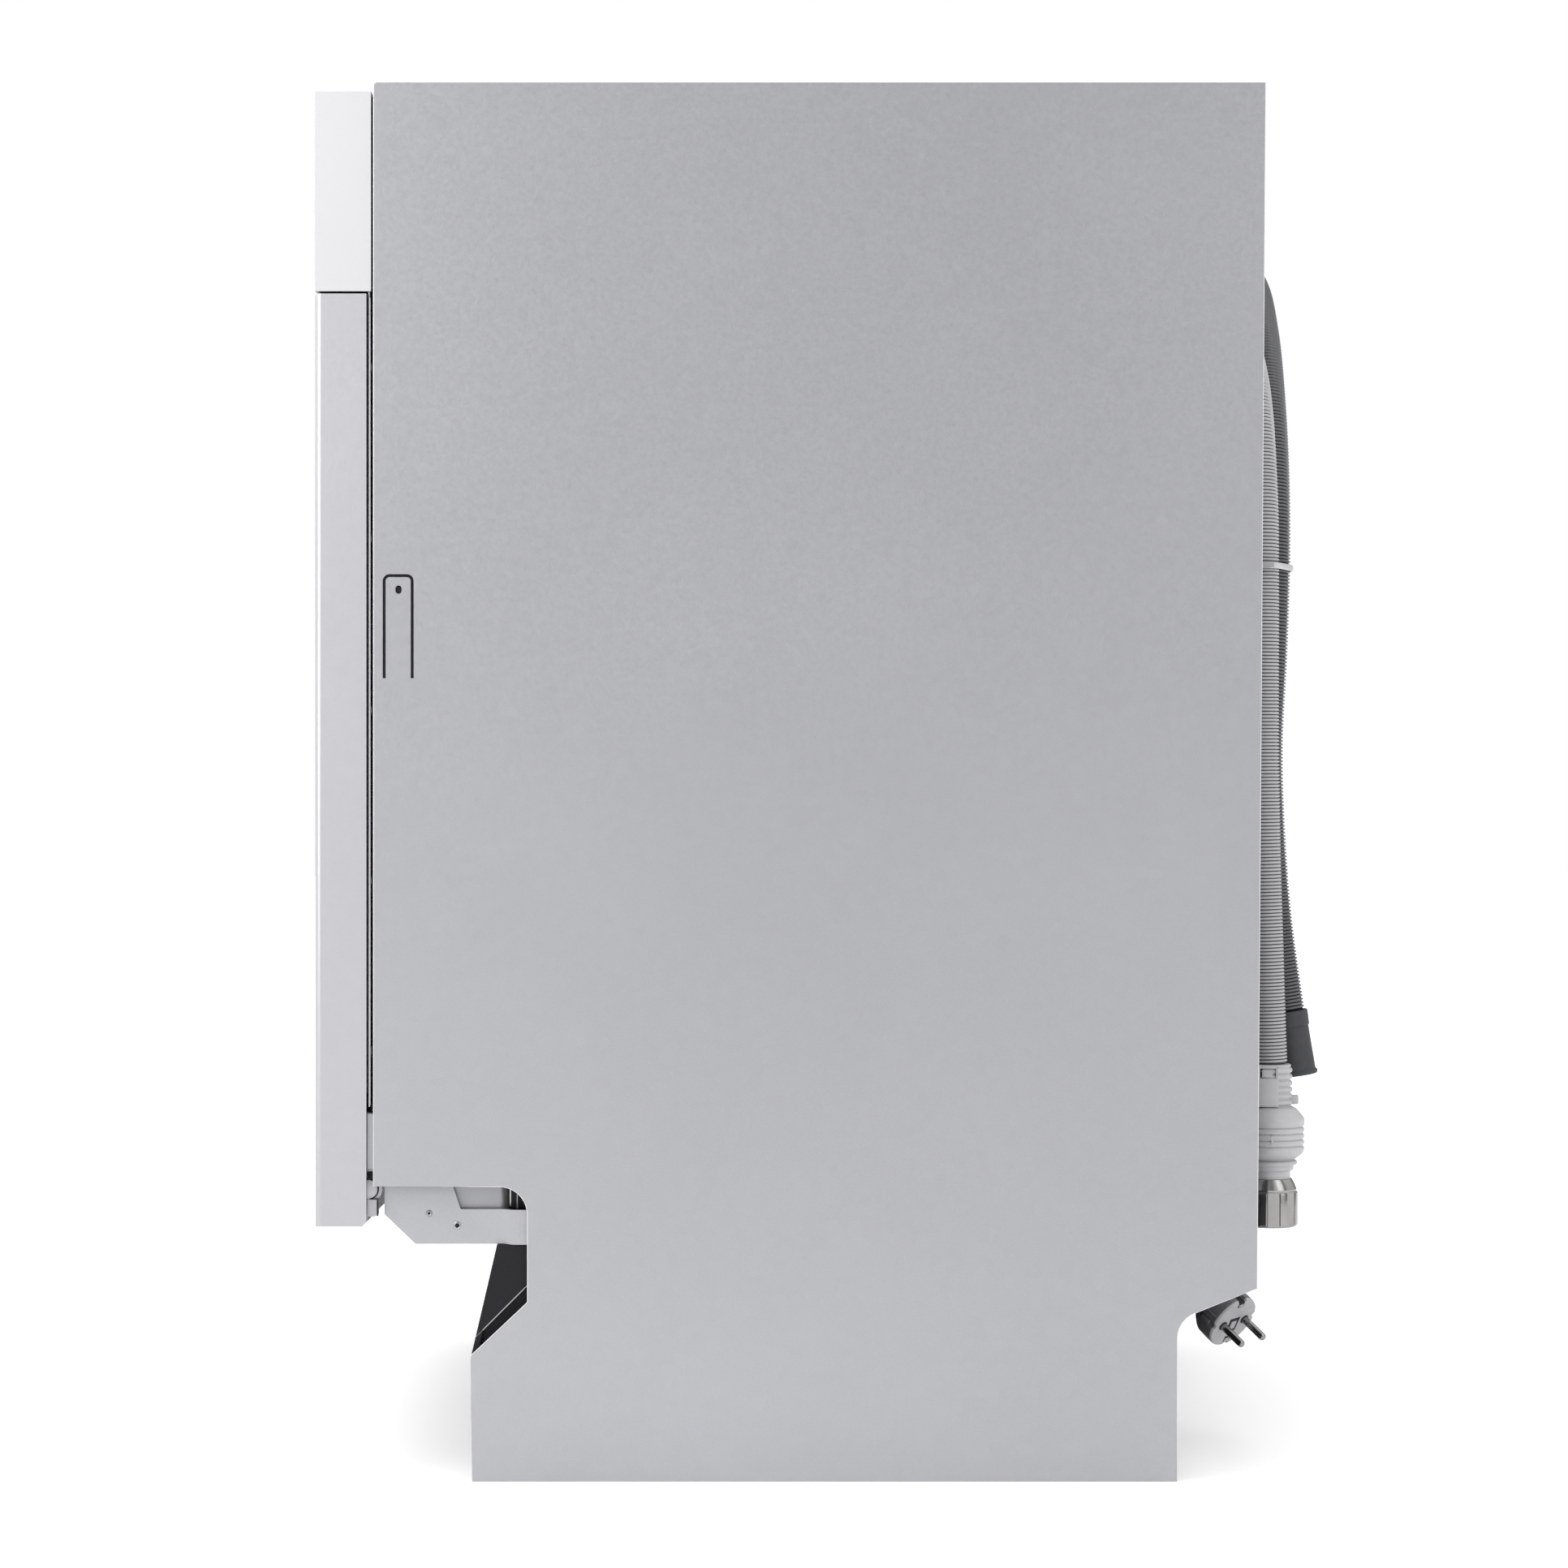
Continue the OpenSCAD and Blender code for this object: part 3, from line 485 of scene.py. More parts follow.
FINISHES = {
    "galvanised_sheet": (sheet_metal, (0.365, 0.368, 0.387), 0.34, 0.50),
    # A lighter copy of the sheet for the panels' rolled edges: painted highlight.
    "rolled_edge": (sheet_metal, (0.66, 0.66, 0.67), 0.34, 0.45),
    "door_steel": (sheet_metal, (0.405, 0.405, 0.422), 0.36, 0.40, 0.015, 0.02),
    "tub_steel": (brushed_steel, (0.56, 0.56, 0.56), 0.27, (0.02, 0.02, 1)),
    "panel_plastic": (moulded, (0.42, 0.42, 0.428), 0.36, 900, 0.008, 0.012),
    "black_plastic": (moulded, (0.009, 0.009, 0.011), 0.5, 500, 0.02, 0.12, 0.22),
    "grey_plastic": (moulded, (0.21, 0.215, 0.23), 0.42, 600, 0.02),
    "dark_grey_plastic": (moulded, (0.045, 0.046, 0.052), 0.48, 600, 0.03, 0.06, 0.35),
    "light_plastic": (moulded, (0.375, 0.375, 0.385), 0.40, 700, 0.012),
    "blue_plastic": (moulded, (0.05, 0.13, 0.30), 0.36, 700, 0.015),
    "coated_wire": (coated_wire, (0.30, 0.31, 0.33)),
    "seal_rubber": (rubber, (0.010, 0.010, 0.011), 0.7),
    "spring_steel": (plated, (0.36, 0.36, 0.38), 0.34),
    "bright_nickel": (plated, (0.30, 0.296, 0.292), 0.17),
    "hose_light": (moulded, (0.35, 0.35, 0.363), 0.42, 500, 0.02, 0.03),
    "hose_dark": (moulded, (0.085, 0.087, 0.094), 0.38, 500, 0.02, 0.06),
    "cuff_rubber": (rubber, (0.034, 0.035, 0.039), 0.6),
    "lead_grey": (moulded, (0.12, 0.12, 0.13), 0.48, 400, 0.03, 0.05),
    "plug_grey": (moulded, (0.34, 0.34, 0.355), 0.44, 500, 0.03, 0.03),
    "filter_mesh": (mesh_steel, (0.55, 0.55, 0.56)),
    "dark_glass": (dark_glass,),
    "glow": (glowing, (0.75, 0.88, 1.0), 1.2),
    # Darker copies of the two hose plastics for the faces down in the grooves: painted shade.
    "hose_groove": (moulded, (0.06, 0.06, 0.063), 0.5, 500, 0.02, 0.05, 0.3),
    "hose_dark_groove": (moulded, (0.008, 0.008, 0.009), 0.5, 500, 0.02, 0.05, 0.2),
}
MATERIALS = {name: make(name, *values) for name, (make, *values) in FINISHES.items()}


# ---- Camera ----

VIEW_DISTANCE = 2.473
VIEW_Y = -0.0034
VIEW_HEIGHT = 0.4064
LENS = 85.7


def make_camera():
    """A level camera that looks straight at the right side."""
    data = bpy.data.cameras.new("camera")
    data.sensor_width = 36
    data.lens = LENS
    camera = show("camera", data)
    camera.location = (VIEW_DISTANCE, VIEW_Y, VIEW_HEIGHT)
    camera.rotation_euler = (math.radians(90), 0, math.radians(90))
    bpy.context.scene.camera = camera


# ---- Hoses and mains lead ----

INLET_ROUTE = [
    (-0.180, 0.268, 0.098), (-0.180, 0.268, 0.130), (-0.180, 0.268, 0.200), (-0.180, 0.268, 0.300),
    (-0.180, 0.268, 0.420), (-0.180, 0.268, 0.520), (-0.170, 0.268, 0.604), (-0.136, 0.268, 0.688),
    (-0.062, 0.268, 0.750), (0.035, 0.268, 0.774), (0.128, 0.268, 0.751), (0.196, 0.2695, 0.700),
    (0.235, 0.2775, 0.645), (0.249, 0.2805, 0.580), (0.251, 0.281, 0.510), (0.250, 0.281, 0.440),
    (0.250, 0.282, 0.370), (0.250, 0.284, 0.300), (0.250, 0.286, 0.240)]
DRAIN_ROUTE = [
    (-0.140, 0.268, 0.098), (-0.140, 0.268, 0.130), (-0.142, 0.268, 0.200), (-0.144, 0.268, 0.300),
    (-0.144, 0.268, 0.420), (-0.142, 0.268, 0.510), (-0.132, 0.268, 0.588), (-0.104, 0.268, 0.660),
    (-0.044, 0.2683, 0.720), (0.037, 0.269, 0.742), (0.098, 0.276, 0.737), (0.150, 0.286, 0.717),
    (0.187, 0.2885, 0.683), (0.210, 0.2896, 0.640), (0.222, 0.2905, 0.592), (0.227, 0.2902, 0.540),
    (0.228, 0.2884, 0.485), (0.227, 0.2858, 0.430), (0.226, 0.2872, 0.380), (0.226, 0.2915, 0.325),
    (0.226, 0.299, 0.270)]
LEAD_ROUTE = [
    (-0.060, 0.256, 0.072), (-0.060, 0.256, 0.094), (-0.061, 0.258, 0.122), (-0.066, 0.261, 0.158),
    (-0.076, 0.262, 0.210), (-0.088, 0.262, 0.280), (-0.095, 0.262, 0.360), (-0.098, 0.262, 0.450),
    (-0.098, 0.262, 0.540), (-0.098, 0.262, 0.613), (-0.0875, 0.262, 0.6385), (-0.062, 0.262, 0.649),
    (-0.0365, 0.262, 0.6385), (-0.026, 0.262, 0.613), (-0.026, 0.262, 0.584), (-0.0155, 0.262, 0.5585),
    (0.010, 0.262, 0.548), (0.0355, 0.262, 0.5585), (0.046, 0.262, 0.584), (0.046, 0.262, 0.613),
    (0.0565, 0.262, 0.6385), (0.082, 0.262, 0.649), (0.1075, 0.262, 0.6385), (0.118, 0.262, 0.613),
    (0.120, 0.262, 0.570), (0.125, 0.262, 0.510), (0.131, 0.262, 0.440), (0.137, 0.262, 0.360),
    (0.141, 0.2625, 0.285), (0.142, 0.263, 0.230), (0.142, 0.2628, 0.186), (0.1385, 0.2595, 0.1655),
    (0.133, 0.2542, 0.1538), (0.1256, 0.2469, 0.1377), (0.1223, 0.2438, 0.127), (0.1223, 0.2438, 0.1137),
    (0.126, 0.2473, 0.102), (0.132, 0.2532, 0.0937)]
INLET_R, DRAIN_R, LEAD_R = 10.5, 11.0, 3.5
RIB_PITCH, RIB_DEPTH, PLAIN_END = 2.07, 1.15, 0.4
# Each step is (share of the pitch, depth, mark); mark 1 gives the groove faces the darker groove finish,
# painted shade.
RIB_PROFILE = ((0.0, 1.0, 0), (0.14, 0.2, 0), (0.36, 0.0, 0), (0.58, 0.2, 0), (0.72, 1.0, 1))
HOSE_SIDES = 18
VALVE_XY = (250.0, 286.0)
CUFF_PLACE = moved(226, 299, 269.8) @ turned(7.7, "X")


def corrugated(name, node, route, r, slot, groove_painted_shade_slot):
    """A hose with a rounded rib every RIB_PITCH, up to PLAIN_END from the fitting at its far end. Its groove
    faces take a darker finish, painted shade.
    """
    line = curve_through(route, 24) / MM
    total = distances(line)[-1]
    ribs = int((total - PLAIN_END - 2) / RIB_PITCH)
    start = total - PLAIN_END - ribs * RIB_PITCH
    along, radii, marks = [0.0], [r - RIB_DEPTH], [0]
    for i in range(ribs):
        for share, depth, mark in RIB_PROFILE:
            along.append(start + (i + share) * RIB_PITCH)
            radii.append(r - RIB_DEPTH * depth)
            marks.append(mark)
    along.append(total)
    radii.append(r - RIB_DEPTH)
    shape = Shape().tube(at_distances(line, along), radii, HOSE_SIDES, marks=marks)
    obj = shape.piece(name, "cabinet", slot, groove_painted_shade_slot, replaces=[node], smooth=75, weld=False)
    return obj, line * MM


def union_nut():
    """The plated nut that screws to the tap: a bevelled shoulder and flat ribs down its side."""
    low, high = node_box("inlet_nut")
    outer = (high.x - low.x) / 2
    bore = 13.2
    skin = outer - 0.6
    profile = [(bore, low.z), (skin - 0.8, low.z), (skin, low.z + 0.8), (skin, high.z - 7.6),
               (skin - 0.4, high.z - 7.2), (skin - 0.2, high.z - 6.2), (skin - 1.4, high.z - 3.0),
               (12.9, high.z - 0.2), (12.4, high.z), (12.2, high.z - 0.5), (12.2, high.z - 8),
               (bore, high.z - 8.4)]
    shape = Shape().revolve(profile, 96, moved(*VALVE_XY, 0), closed=True)
    for i in range(8):
        turn = moved(*VALVE_XY, 0) @ turned(22.5 + 45 * i)
        shape.box((skin - 1.2, -2.5, low.z + 1.2), (outer, 2.5, high.z - 7.8), 0.45, turn, segments=3)
    for i in range(3):
        z = low.z + 3 + 4.5 * i
        shape.revolve([(bore + 0.3, z), (bore - 0.02, z + 1.1), (bore + 0.3, z + 2.2)], 64,
                      moved(*VALVE_XY, 0), closed=True)
    return shape.piece("union_nut", "cabinet", "bright_nickel", replaces=["inlet_nut"], smooth=30)


def safety_valve():
    """The moulded valve at the hose's end: ribbed collar, ribbed bulb and stepped neck."""
    place = moved(*VALVE_XY, 0)
    low, high = node_box("aquastop_valve")
    belly = (high.x - low.x) / 2
    shape = Shape()
    collar = [(9.0, 239.8), (11.9, 239.8), (12.6, 239.2)]
    for i in range(6):
        z = 238.0 - 3.85 * i
        collar += [(12.1, z), (12.9, z - 0.6), (13.4, z - 1.7), (12.9, z - 2.9), (12.1, z - 3.3)]
    collar += [(12.3, 215.4), (12.3, 214.6), (9.0, 214.6)]
    shape.revolve(collar, 72, place, closed=True)
    bulb = [(9.0, 214.8), (13.0, 214.8), (15.6, 213.4), (17.4, 211.4), (19.6, 208.7), (belly - 0.1, 207.4),
            (belly, 206.0), (belly - 0.2, 203.6), (belly - 0.9, 202.9)]
    for i in range(4):
        z = 202.7 - 3.7 * i
        bulb += [(belly - 1.2, z), (belly - 0.3, z - 0.8), (belly - 0.1, z - 1.8), (belly - 0.4, z - 3.0)]
    bulb += [(belly - 0.7, 187.6), (18.9, 186.6), (15.6, 184.0), (14.4, 183.4), (14.4, 183.0), (15.7, 182.5),
             (16.1, 181.4), (15.6, 180.3), (14.2, 179.8), (13.9, 179.2), (13.9, 177.6), (13.4, 177.0),
             (12.2, 176.6), (12.0, 175.8), (12.0, low.z), (9.0, low.z)]
    shape.revolve(bulb, 96, place, closed=True)
    turn = place @ turned(-4)
    shape.box((8, -8.6, 215.2), (13.9, 4.4, 232.0), 0.5, turn)
    shape.box((8, -8.6, 231.0), (13.9, -6.6, 239.4), 0.4, turn)
    shape.box((8, 2.6, 231.0), (13.9, 4.4, 239.4), 0.4, turn)
    shape.box((8, -8.6, 237.9), (13.9, 4.4, 239.6), 0.4, turn)
    shape.box((8, -5.4, 232.6), (13.2, 0.6, 237.4), 0.3, turn)
    shape.box((8, -6.8, 231.6), (11.9, 2.8, 238.4), 0.0, turn, mark=1)
    tab = place @ turned(84)
    shape.box((11, -2.6, 216.0), (16.8, 2.6, 221.4), 0.9, tab, segments=3)
    arrow = [(-0.65, -3.2), (0.65, -3.2), (0.65, 0.8), (1.8, 0.8), (0, 3.2), (-1.8, 0.8), (-0.65, 0.8)]
    face_on = place @ moved(belly - 0.7, -1.2, 195.9) @ turned(90) \
        @ turned(90, "X")
    shape.prism(arrow, -0.6, 0.75, face_on)
    return shape.piece("safety_valve", "cabinet", "light_plastic", "black_plastic",
                       replaces=["aquastop_valve"], smooth=42)


def drain_sleeve():
    """The rubber sleeve on the drain hose: a band round its neck, a flared body and an end lip."""
    profile = [(10.4, -0.2), (12.0, 0.0), (12.5, -0.5), (12.6, -1.2), (12.6, -8.6), (12.4, -9.3),
               (11.9, -9.6), (11.95, -10.2), (12.2, -20), (12.75, -35.2), (12.85, -35.9), (13.4, -36.4),
               (13.7, -37.1), (13.65, -38.1), (13.1, -38.8), (11.6, -38.8), (11.0, -38.0), (10.6, -30),
               (10.5, -12)]
    shape = Shape().revolve(profile, 72, CUFF_PLACE, closed=True)
    return shape.piece("drain_sleeve", "cabinet", "cuff_rubber", replaces=["drain_cuff"], smooth=30)


def hose_tie():
    """A cable tie that holds the two hoses together where they hang side by side."""
    z = 536.0
    a = point_at_height(INLET_ROUTE, z)
    b = point_at_height(DRAIN_ROUTE, z)
    reach = 0.7
    direction = (b - a)
    direction.z = 0
    angle = math.degrees(math.atan2(direction.y, direction.x))
    path = arc(a.x, a.y, INLET_R + reach, angle + 90, angle + 270, 16)
    path += arc(b.x, b.y, DRAIN_R + reach, angle - 90, angle + 90, 16)
    ring = [Vector((x, y, z)) for x, y in path]
    shape = Shape()
    add_strap(shape, ring, 3.6, 1.1)
    head = moved(a.x, a.y, z) @ turned(-22)
    shape.box((INLET_R + 0.2, -2.8, -3.0), (INLET_R + 4.6, 2.8, 3.0), 0.7, head)
    shape.box((INLET_R + 0.8, 2.0, -1.5), (INLET_R + 2.0, 11, 1.5), 0.3, head)
    return shape.piece("hose_tie", "cabinet", "panel_plastic")


def point_at_height(route, z):
    """The point where the last falling stretch of a route passes height z."""
    line = curve_through(route, 24) / MM
    for p, q in zip(line[::-1][:-1], line[::-1][1:]):
        if min(p[2], q[2]) <= z <= max(p[2], q[2]):
            t = (z - p[2]) / (q[2] - p[2])
            return Vector(p + (q - p) * t)
    return Vector(line[-1])


def add_strap(shape, ring, width, thick):
    """A flat band of the given width round a closed level ring of points."""
    n = len(ring)
    centre = sum(ring, Vector()) / n
    rings = []
    for p in ring:
        out = (p - centre)
        out.z = 0
        out.normalize()
        half = width / 2
        rings.append([p + out * thick + UP * (half - 0.3), p + out * thick - UP * (half - 0.3),
                      p + out * (thick - 0.3) - UP * half, p - UP * half, p + UP * half,
                      p + out * (thick - 0.3) + UP * half])
    shape.add([v for r in rings for v in r], strip(n, len(rings[0]), closed=True))


PLUG_PLACE = moved(155, 275.8, 72) @ turned(44.4) \
    @ turned(123.7, "Y") @ turned(99.1)


def mains_plug():
    """An earthed plug: a round face with its earth socket, two plated pins and a ribbed tail. The body's
    sides are darker than its face, painted shade.
    """
    shape = Shape()
    outline = []
    for k in range(96):
        a = 2 * math.pi * k / 96
        x, y = 18.4 * math.cos(a), 18.4 * math.sin(a)
        if abs(x) < 3.1 and y > 0:
            y = min(y, 16.2)
        if abs(x) < 2.0 and y < 0:
            y = max(y, -15.6)
        if abs(y - 1) < 2.2:
            x = max(-16.6, min(16.6, x))
        outline.append((x, y))
    rings = []
    for z, scale in ((0.0, 0.955), (-0.5, 0.985), (-1.4, 1.0), (-6, 1.0), (-13, 0.99), (-15.5, 0.93),
                     (-19, 0.80), (-23, 0.62), (-26, 0.50), (-28.5, 0.45)):
        rings.append([(x * scale, y * scale, z) for x, y in outline])
    # The body's sides and side ridges take lead_grey, darker than the face's plug_grey: painted shade.
    shape.loft(rings[2:], PLUG_PLACE, mark=3)
    shape.loft(rings[:3], PLUG_PLACE)
    tail = [(8.2, -27.5), (8.4, -29.0)]
    for i in range(4):
        z = -29.6 - 2.3 * i
        r = 7.6 - 0.8 * i
        tail += [(r - 1.0, z), (r - 0.9, z - 0.7), (r, z - 0.9), (r, z - 1.8), (r - 0.4, z - 2.1)]
    tail += [(4.2, -38.4), (3.6, -38.4)]
    shape.revolve(tail, 40, PLUG_PLACE)
    for side in (-1, 1):
        shape.box((side * 17.2 - 1.2, -0.8, -12), (side * 17.2 + 1.2, 2.8, -5), 0.5, PLUG_PLACE, mark=3)
        shape.box((side * 15.6 - 1.6, 5.4, -13), (side * 15.6 + 1.6, 7.6, -1.8), 0.4, PLUG_PLACE, mark=3)
    # Black patches for the earth socket and the two clip slots: painted shade of their hollows, with the
    # plated clips in them.
    shape.box((-4.4, -7.4, -0.6), (4.4, 3.6, 0.12), 0.15, PLUG_PLACE, mark=1)
    shape.box((-2.3, -5.0, -0.4), (2.3, 1.2, 0.25), 0.1, PLUG_PLACE, mark=2)
    for y0, y1 in ((-15.9, -11.0), (12.6, 16.4)):
        shape.box((-2.6, y0, -9), (2.6, y1, 0.14), 0.1, PLUG_PLACE, mark=1)
        shape.box((-2.0, y0 + 0.5, -9), (2.0, y1 - 1.6, 0.30), 0.2, PLUG_PLACE, mark=2)
    plug = shape.piece("mains_plug", "cabinet", "plug_grey", "black_plastic", "spring_steel",
                       "lead_grey", replaces=["power_plug"], smooth=35)
    pins = Shape()
    for side in (-1, 1):
        at = PLUG_PLACE @ moved(side * 9.5, 0, 0)
        pins.revolve([(0, -1), (3.1, -1), (3.1, 0.35), (2.45, 0.45)], 32, at, mark=1)
        pins.revolve([(2.4, 0), (2.4, 16.6), (2.2, 17.9), (1.5, 18.75), (0.6, 19.0), (0, 19.0)], 32, at)
    contacts = pins.piece("plug_pins", "cabinet", "bright_nickel", "black_plastic", smooth=40)
    return [plug, contacts]


def mains_lead():
    """The lead is a bevelled curve through its route."""
    data = bpy.data.curves.new("mains_lead", "CURVE")
    data.dimensions = "3D"
    data.bevel_depth = LEAD_R * MM
    data.bevel_resolution = 4
    data.resolution_u = 10
    data.use_fill_caps = True
    spline = data.splines.new("BEZIER")
    spline.bezier_points.add(len(LEAD_ROUTE) - 1)
    for point, place in zip(spline.bezier_points, LEAD_ROUTE):
        point.co = place
        point.handle_left_type = point.handle_right_type = "AUTO"
    data.materials.append(MATERIALS["lead_grey"])
    obj = show("mains_lead", data)
    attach(obj, "cabinet")
    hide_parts("power_cord")
    return obj


def lead_relief():
    """A tapered, slotted sleeve where the lead leaves the base."""
    line = curve_through(LEAD_ROUTE, 24) / MM
    along, radii = [0.0, 2.6, 3.0], [8.0, 8.0, 6.4]
    for i in range(9):
        s = 3.4 + 2.9 * i
        r = 6.4 - 0.24 * i
        along += [s, s + 0.5, s + 1.9, s + 2.3]
        radii += [r, r - 0.9, r - 0.9, r - 0.1]
    along += [30.5, 31.5]
    radii += [4.3, 3.7]
    shape = Shape().tube(at_distances(line, along), radii, 28)
    return shape.piece("lead_relief", "cabinet", "black_plastic", smooth=40)


def hose_cuffs():
    """Short collars and screw clamps where the two hoses leave their elbows."""
    shape = Shape()
    for route, r, turn in ((INLET_ROUTE, INLET_R, -90), (DRAIN_ROUTE, DRAIN_R, 20)):
        x, y, z = (c / MM for c in route[0])
        place = moved(x, y, 0)
        shape.revolve([(r + 0.2, z - 0.2), (r + 2.6, z - 0.2), (r + 2.6, z + 2), (r + 1.6, z + 3),
                       (r + 1.4, z + 13), (r + 0.6, z + 14), (r + 0.1, z + 14)], 48, place, closed=True)
        shape.revolve([(r + 1.2, z + 5), (r + 2.4, z + 5), (r + 2.4, z + 11), (r + 1.2, z + 11)], 48, place,
                      mark=1, closed=True)
        head = place @ turned(turn)
        shape.box((r + 1.8, -3, z + 5.5), (r + 5.2, 3, z + 10.5), 0.6, head, mark=1)
    return shape.piece("hose_collars", "cabinet", "black_plastic", "spring_steel", smooth=35)


def make_cords():
    inlet, inlet_line = corrugated("supply_hose", "inlet_hose", INLET_ROUTE, INLET_R,
                                   "hose_light", "hose_groove")
    valve, nut = safety_valve(), union_nut()
    drain, drain_line = corrugated("waste_hose", "drain_hose", DRAIN_ROUTE, DRAIN_R,
                                   "hose_dark", "hose_dark_groove")
    sleeve = drain_sleeve()
    lead = mains_lead()
    mains_plug() + [lead_relief()]
    hose_tie()
    hose_cuffs()


# ---- Cabinet ----

EDGE_R = 0.42


def side_outline():
    """The side panel's edge, in Y and Z, from the top of its door edge round to the notch."""
    foot_y, chamfer_z = -186.0, 73.0
    points = [(SIDE_Y, 172.0), (SIDE_Y, SIDE_HIGH.z - 1.5), (SIDE_Y + 1.5, SIDE_HIGH.z),
              (REAR_Y, SIDE_HIGH.z), (REAR_Y - 5, 112.5)]
    points += arc(241.5, 83.35, 16, 111.4, 180, 10)
    points += [(225.5, 0.0), (foot_y + 1, 0.0), (foot_y, chamfer_z), (-152.7, 104.4)]
    return points + arc(-169.2, 155.5, 16.5, 0, 90, 10)


def panel_edges():
    """The rolled edge all round each side panel, a little proud of its outline, in a lighter finish than the
    panel that paints its highlight.
    """
    shape = Shape()
    x = SIDE_HIGH.x - EDGE_R
    path = [Vector((x, y, min(max(z, EDGE_R), SIDE_HIGH.z - EDGE_R))) for y, z in side_outline()]
    shape.tube(path, EDGE_R, 8, closed=True)
    shape.mirrored()
    return shape.piece("panel_edges", "cabinet", "galvanised_sheet", finish="rolled_edge",
                       weld=False, smooth=60)


def tongue_details():
    """A black sheet close behind the bent-out tongue's cut, painted shade seen through the cut, and a bright
    burr round the cut and its hole.
    """
    shape = Shape()
    x = SIDE_HIGH.x - 0.3
    y0, y1, z0, z1, r, w = -237.3, -218.9, 468.0, 528.8, 4.2, 2.1
    # Black sheet behind the cut: painted shade.
    shape.box((297.0, y0 - 1.2, z0 - 5), (297.9, y1 + 3, z1 + 3), 0.3)
    cut = [(y0, z0)] + arc(y0 + r, z1 - r, r, 180, 90, 8) + arc(y1 - r, z1 - r, r, 90, 0, 8)
    cut += [(y1, z0), (y1 - w, z0)] + arc(y1 - r, z1 - r, r - w, 0, 90, 6)
    cut += arc(y0 + r, z1 - r, r - w, 90, 180, 6) + [(y0 + w, z0)]
    hole = arc(-227.9, 520.2, 2, 0, 180, 12) + arc(-227.9, 519, 2, 180, 360, 12)
    for path in (cut, hole):
        shape.tube([(x, y, z) for y, z in path], 0.26, 6, closed=True, mark=1)
    shape.mirrored()
    return shape.piece("tongue_details", "cabinet", "black_plastic", "galvanised_sheet", weld=False)


def rivets_and_screws():
    """Hollow rivets on the hinge brackets, and pan-head screws in the rear sheet."""
    shape = Shape()
    for y, z, r, hole in ((FRONT_Y + 66.2, 155.5, 1.9, 0.8), (FRONT_Y + 82.7, 148.4, 2.3, 1.3)):
        at = moved(291.5, y, z) @ TO_RIGHT
        head = [(hole, 0.0), (r, 0.0), (r, 0.2), (r - 0.35, 0.55), (hole + 0.3, 0.6), (hole, 0.4)]
        shape.revolve(head, 40, at, closed=True)
        # A black disc in each rivet's hole: painted shade of the hole.
        shape.revolve([(0, 0.02), (hole, 0.02), (hole, 0.12), (0, 0.12)], 32, at, mark=1)
    sheet_y = node_box("rear_panel")[1].y
    pan_head = [(0, 0), (6.2, 0), (6.2, 0.5), (4.0, 0.55), (3.9, 1.2), (3.2, 2.0), (1.8, 2.4), (0, 2.45)]
    for z in range(200, 801, 150):
        at = moved(282, sheet_y, z) @ TO_BACK @ turned(20 * z)
        shape.revolve(pan_head, 32, at)
        # A black cross on each head in place of its recess: painted shade.
        for turn in (0, 90):
            cross = at @ turned(turn)
            shape.box((-1.9, -0.4, 1.9), (1.9, 0.4, 2.5), 0.05, cross, mark=1)
    shape.mirrored()
    return shape.piece("rivets_and_screws", "cabinet", "spring_steel", "black_plastic",
                       replaces=["fasteners"])


def rear_sheet_details():
    """Louvre hoods over the vent slots, and pressed ribs that stiffen the sheet."""
    y = node_box("rear_panel")[1].y
    shape = Shape()
    for x in range(-180, 181, 60):
        for z in range(300, 601, 60):
            outline = [(0, 0), (1.0, 0), (1.15, 1.0), (0.9, 3.2), (0, 5.2)]
            hood = [(x - 15.5, 0.35), (x - 13.5, 1.0), (x + 13.5, 1.0), (x + 15.5, 0.35)]
            rings = [[(hx, y + a * share, z + 3 + b) for a, b in outline] for hx, share in hood]
            shape.loft(rings)
    for z0 in (205, 655):
        for x0, x1 in ((-262, -196), (196, 262)):
            for k in range(3):
                zc = z0 + 28 * k
                shape.tube([(x0, y, zc), (x0 + 3, y + 0.2, zc), (x1 - 3, y + 0.2, zc), (x1, y, zc)],
                           [0.4, 1.2, 1.2, 0.4], 12)
    return shape.piece("rear_sheet_pressings", "cabinet", "galvanised_sheet", smooth=50)


def roof_mat():
    """A bitumen damping mat that lies on the tub's roof, slightly wavy, between the crossbars."""
    z0 = node_box("tub_wrap")[1].z + 0.2
    nx, ny = 44, 30
    x0, x1, y0, y1 = -252.0, 252.0, -192.0, 186.0
    verts, faces = [], []
    for layer in (0, 1):
        for j in range(ny + 1):
            for i in range(nx + 1):
                x, y = x0 + (x1 - x0) * i / nx, y0 + (y1 - y0) * j / ny
                wave = 0.5 * math.sin(x / 37 + 0.6) * math.sin(y / 29) + 0.3 * math.sin(x / 13 + y / 17)
                edge = min(i, nx - i, j, ny - j)
                verts.append((x, y, z0 if layer == 0 else z0 + (3.4 + wave if edge else 1.9)))
    row, sheet = nx + 1, (nx + 1) * (ny + 1)
    for j in range(ny):
        for i in range(nx):
            a = j * row + i
            faces.append([a, a + row, a + row + 1, a + 1])
            faces.append([sheet + a, sheet + a + 1, sheet + a + row + 1, sheet + a + row])
    rim = [j * row for j in range(ny + 1)] + [ny * row + i for i in range(1, nx + 1)]
    rim += [j * row + nx for j in range(ny - 1, -1, -1)] + [i for i in range(nx - 1, 0, -1)]
    for a, b in zip(rim, rim[1:] + rim[:1]):
        faces.append([a, b, sheet + b, sheet + a])
    return Shape().add(verts, faces).piece("roof_mat", "cabinet", "seal_rubber", smooth=50)


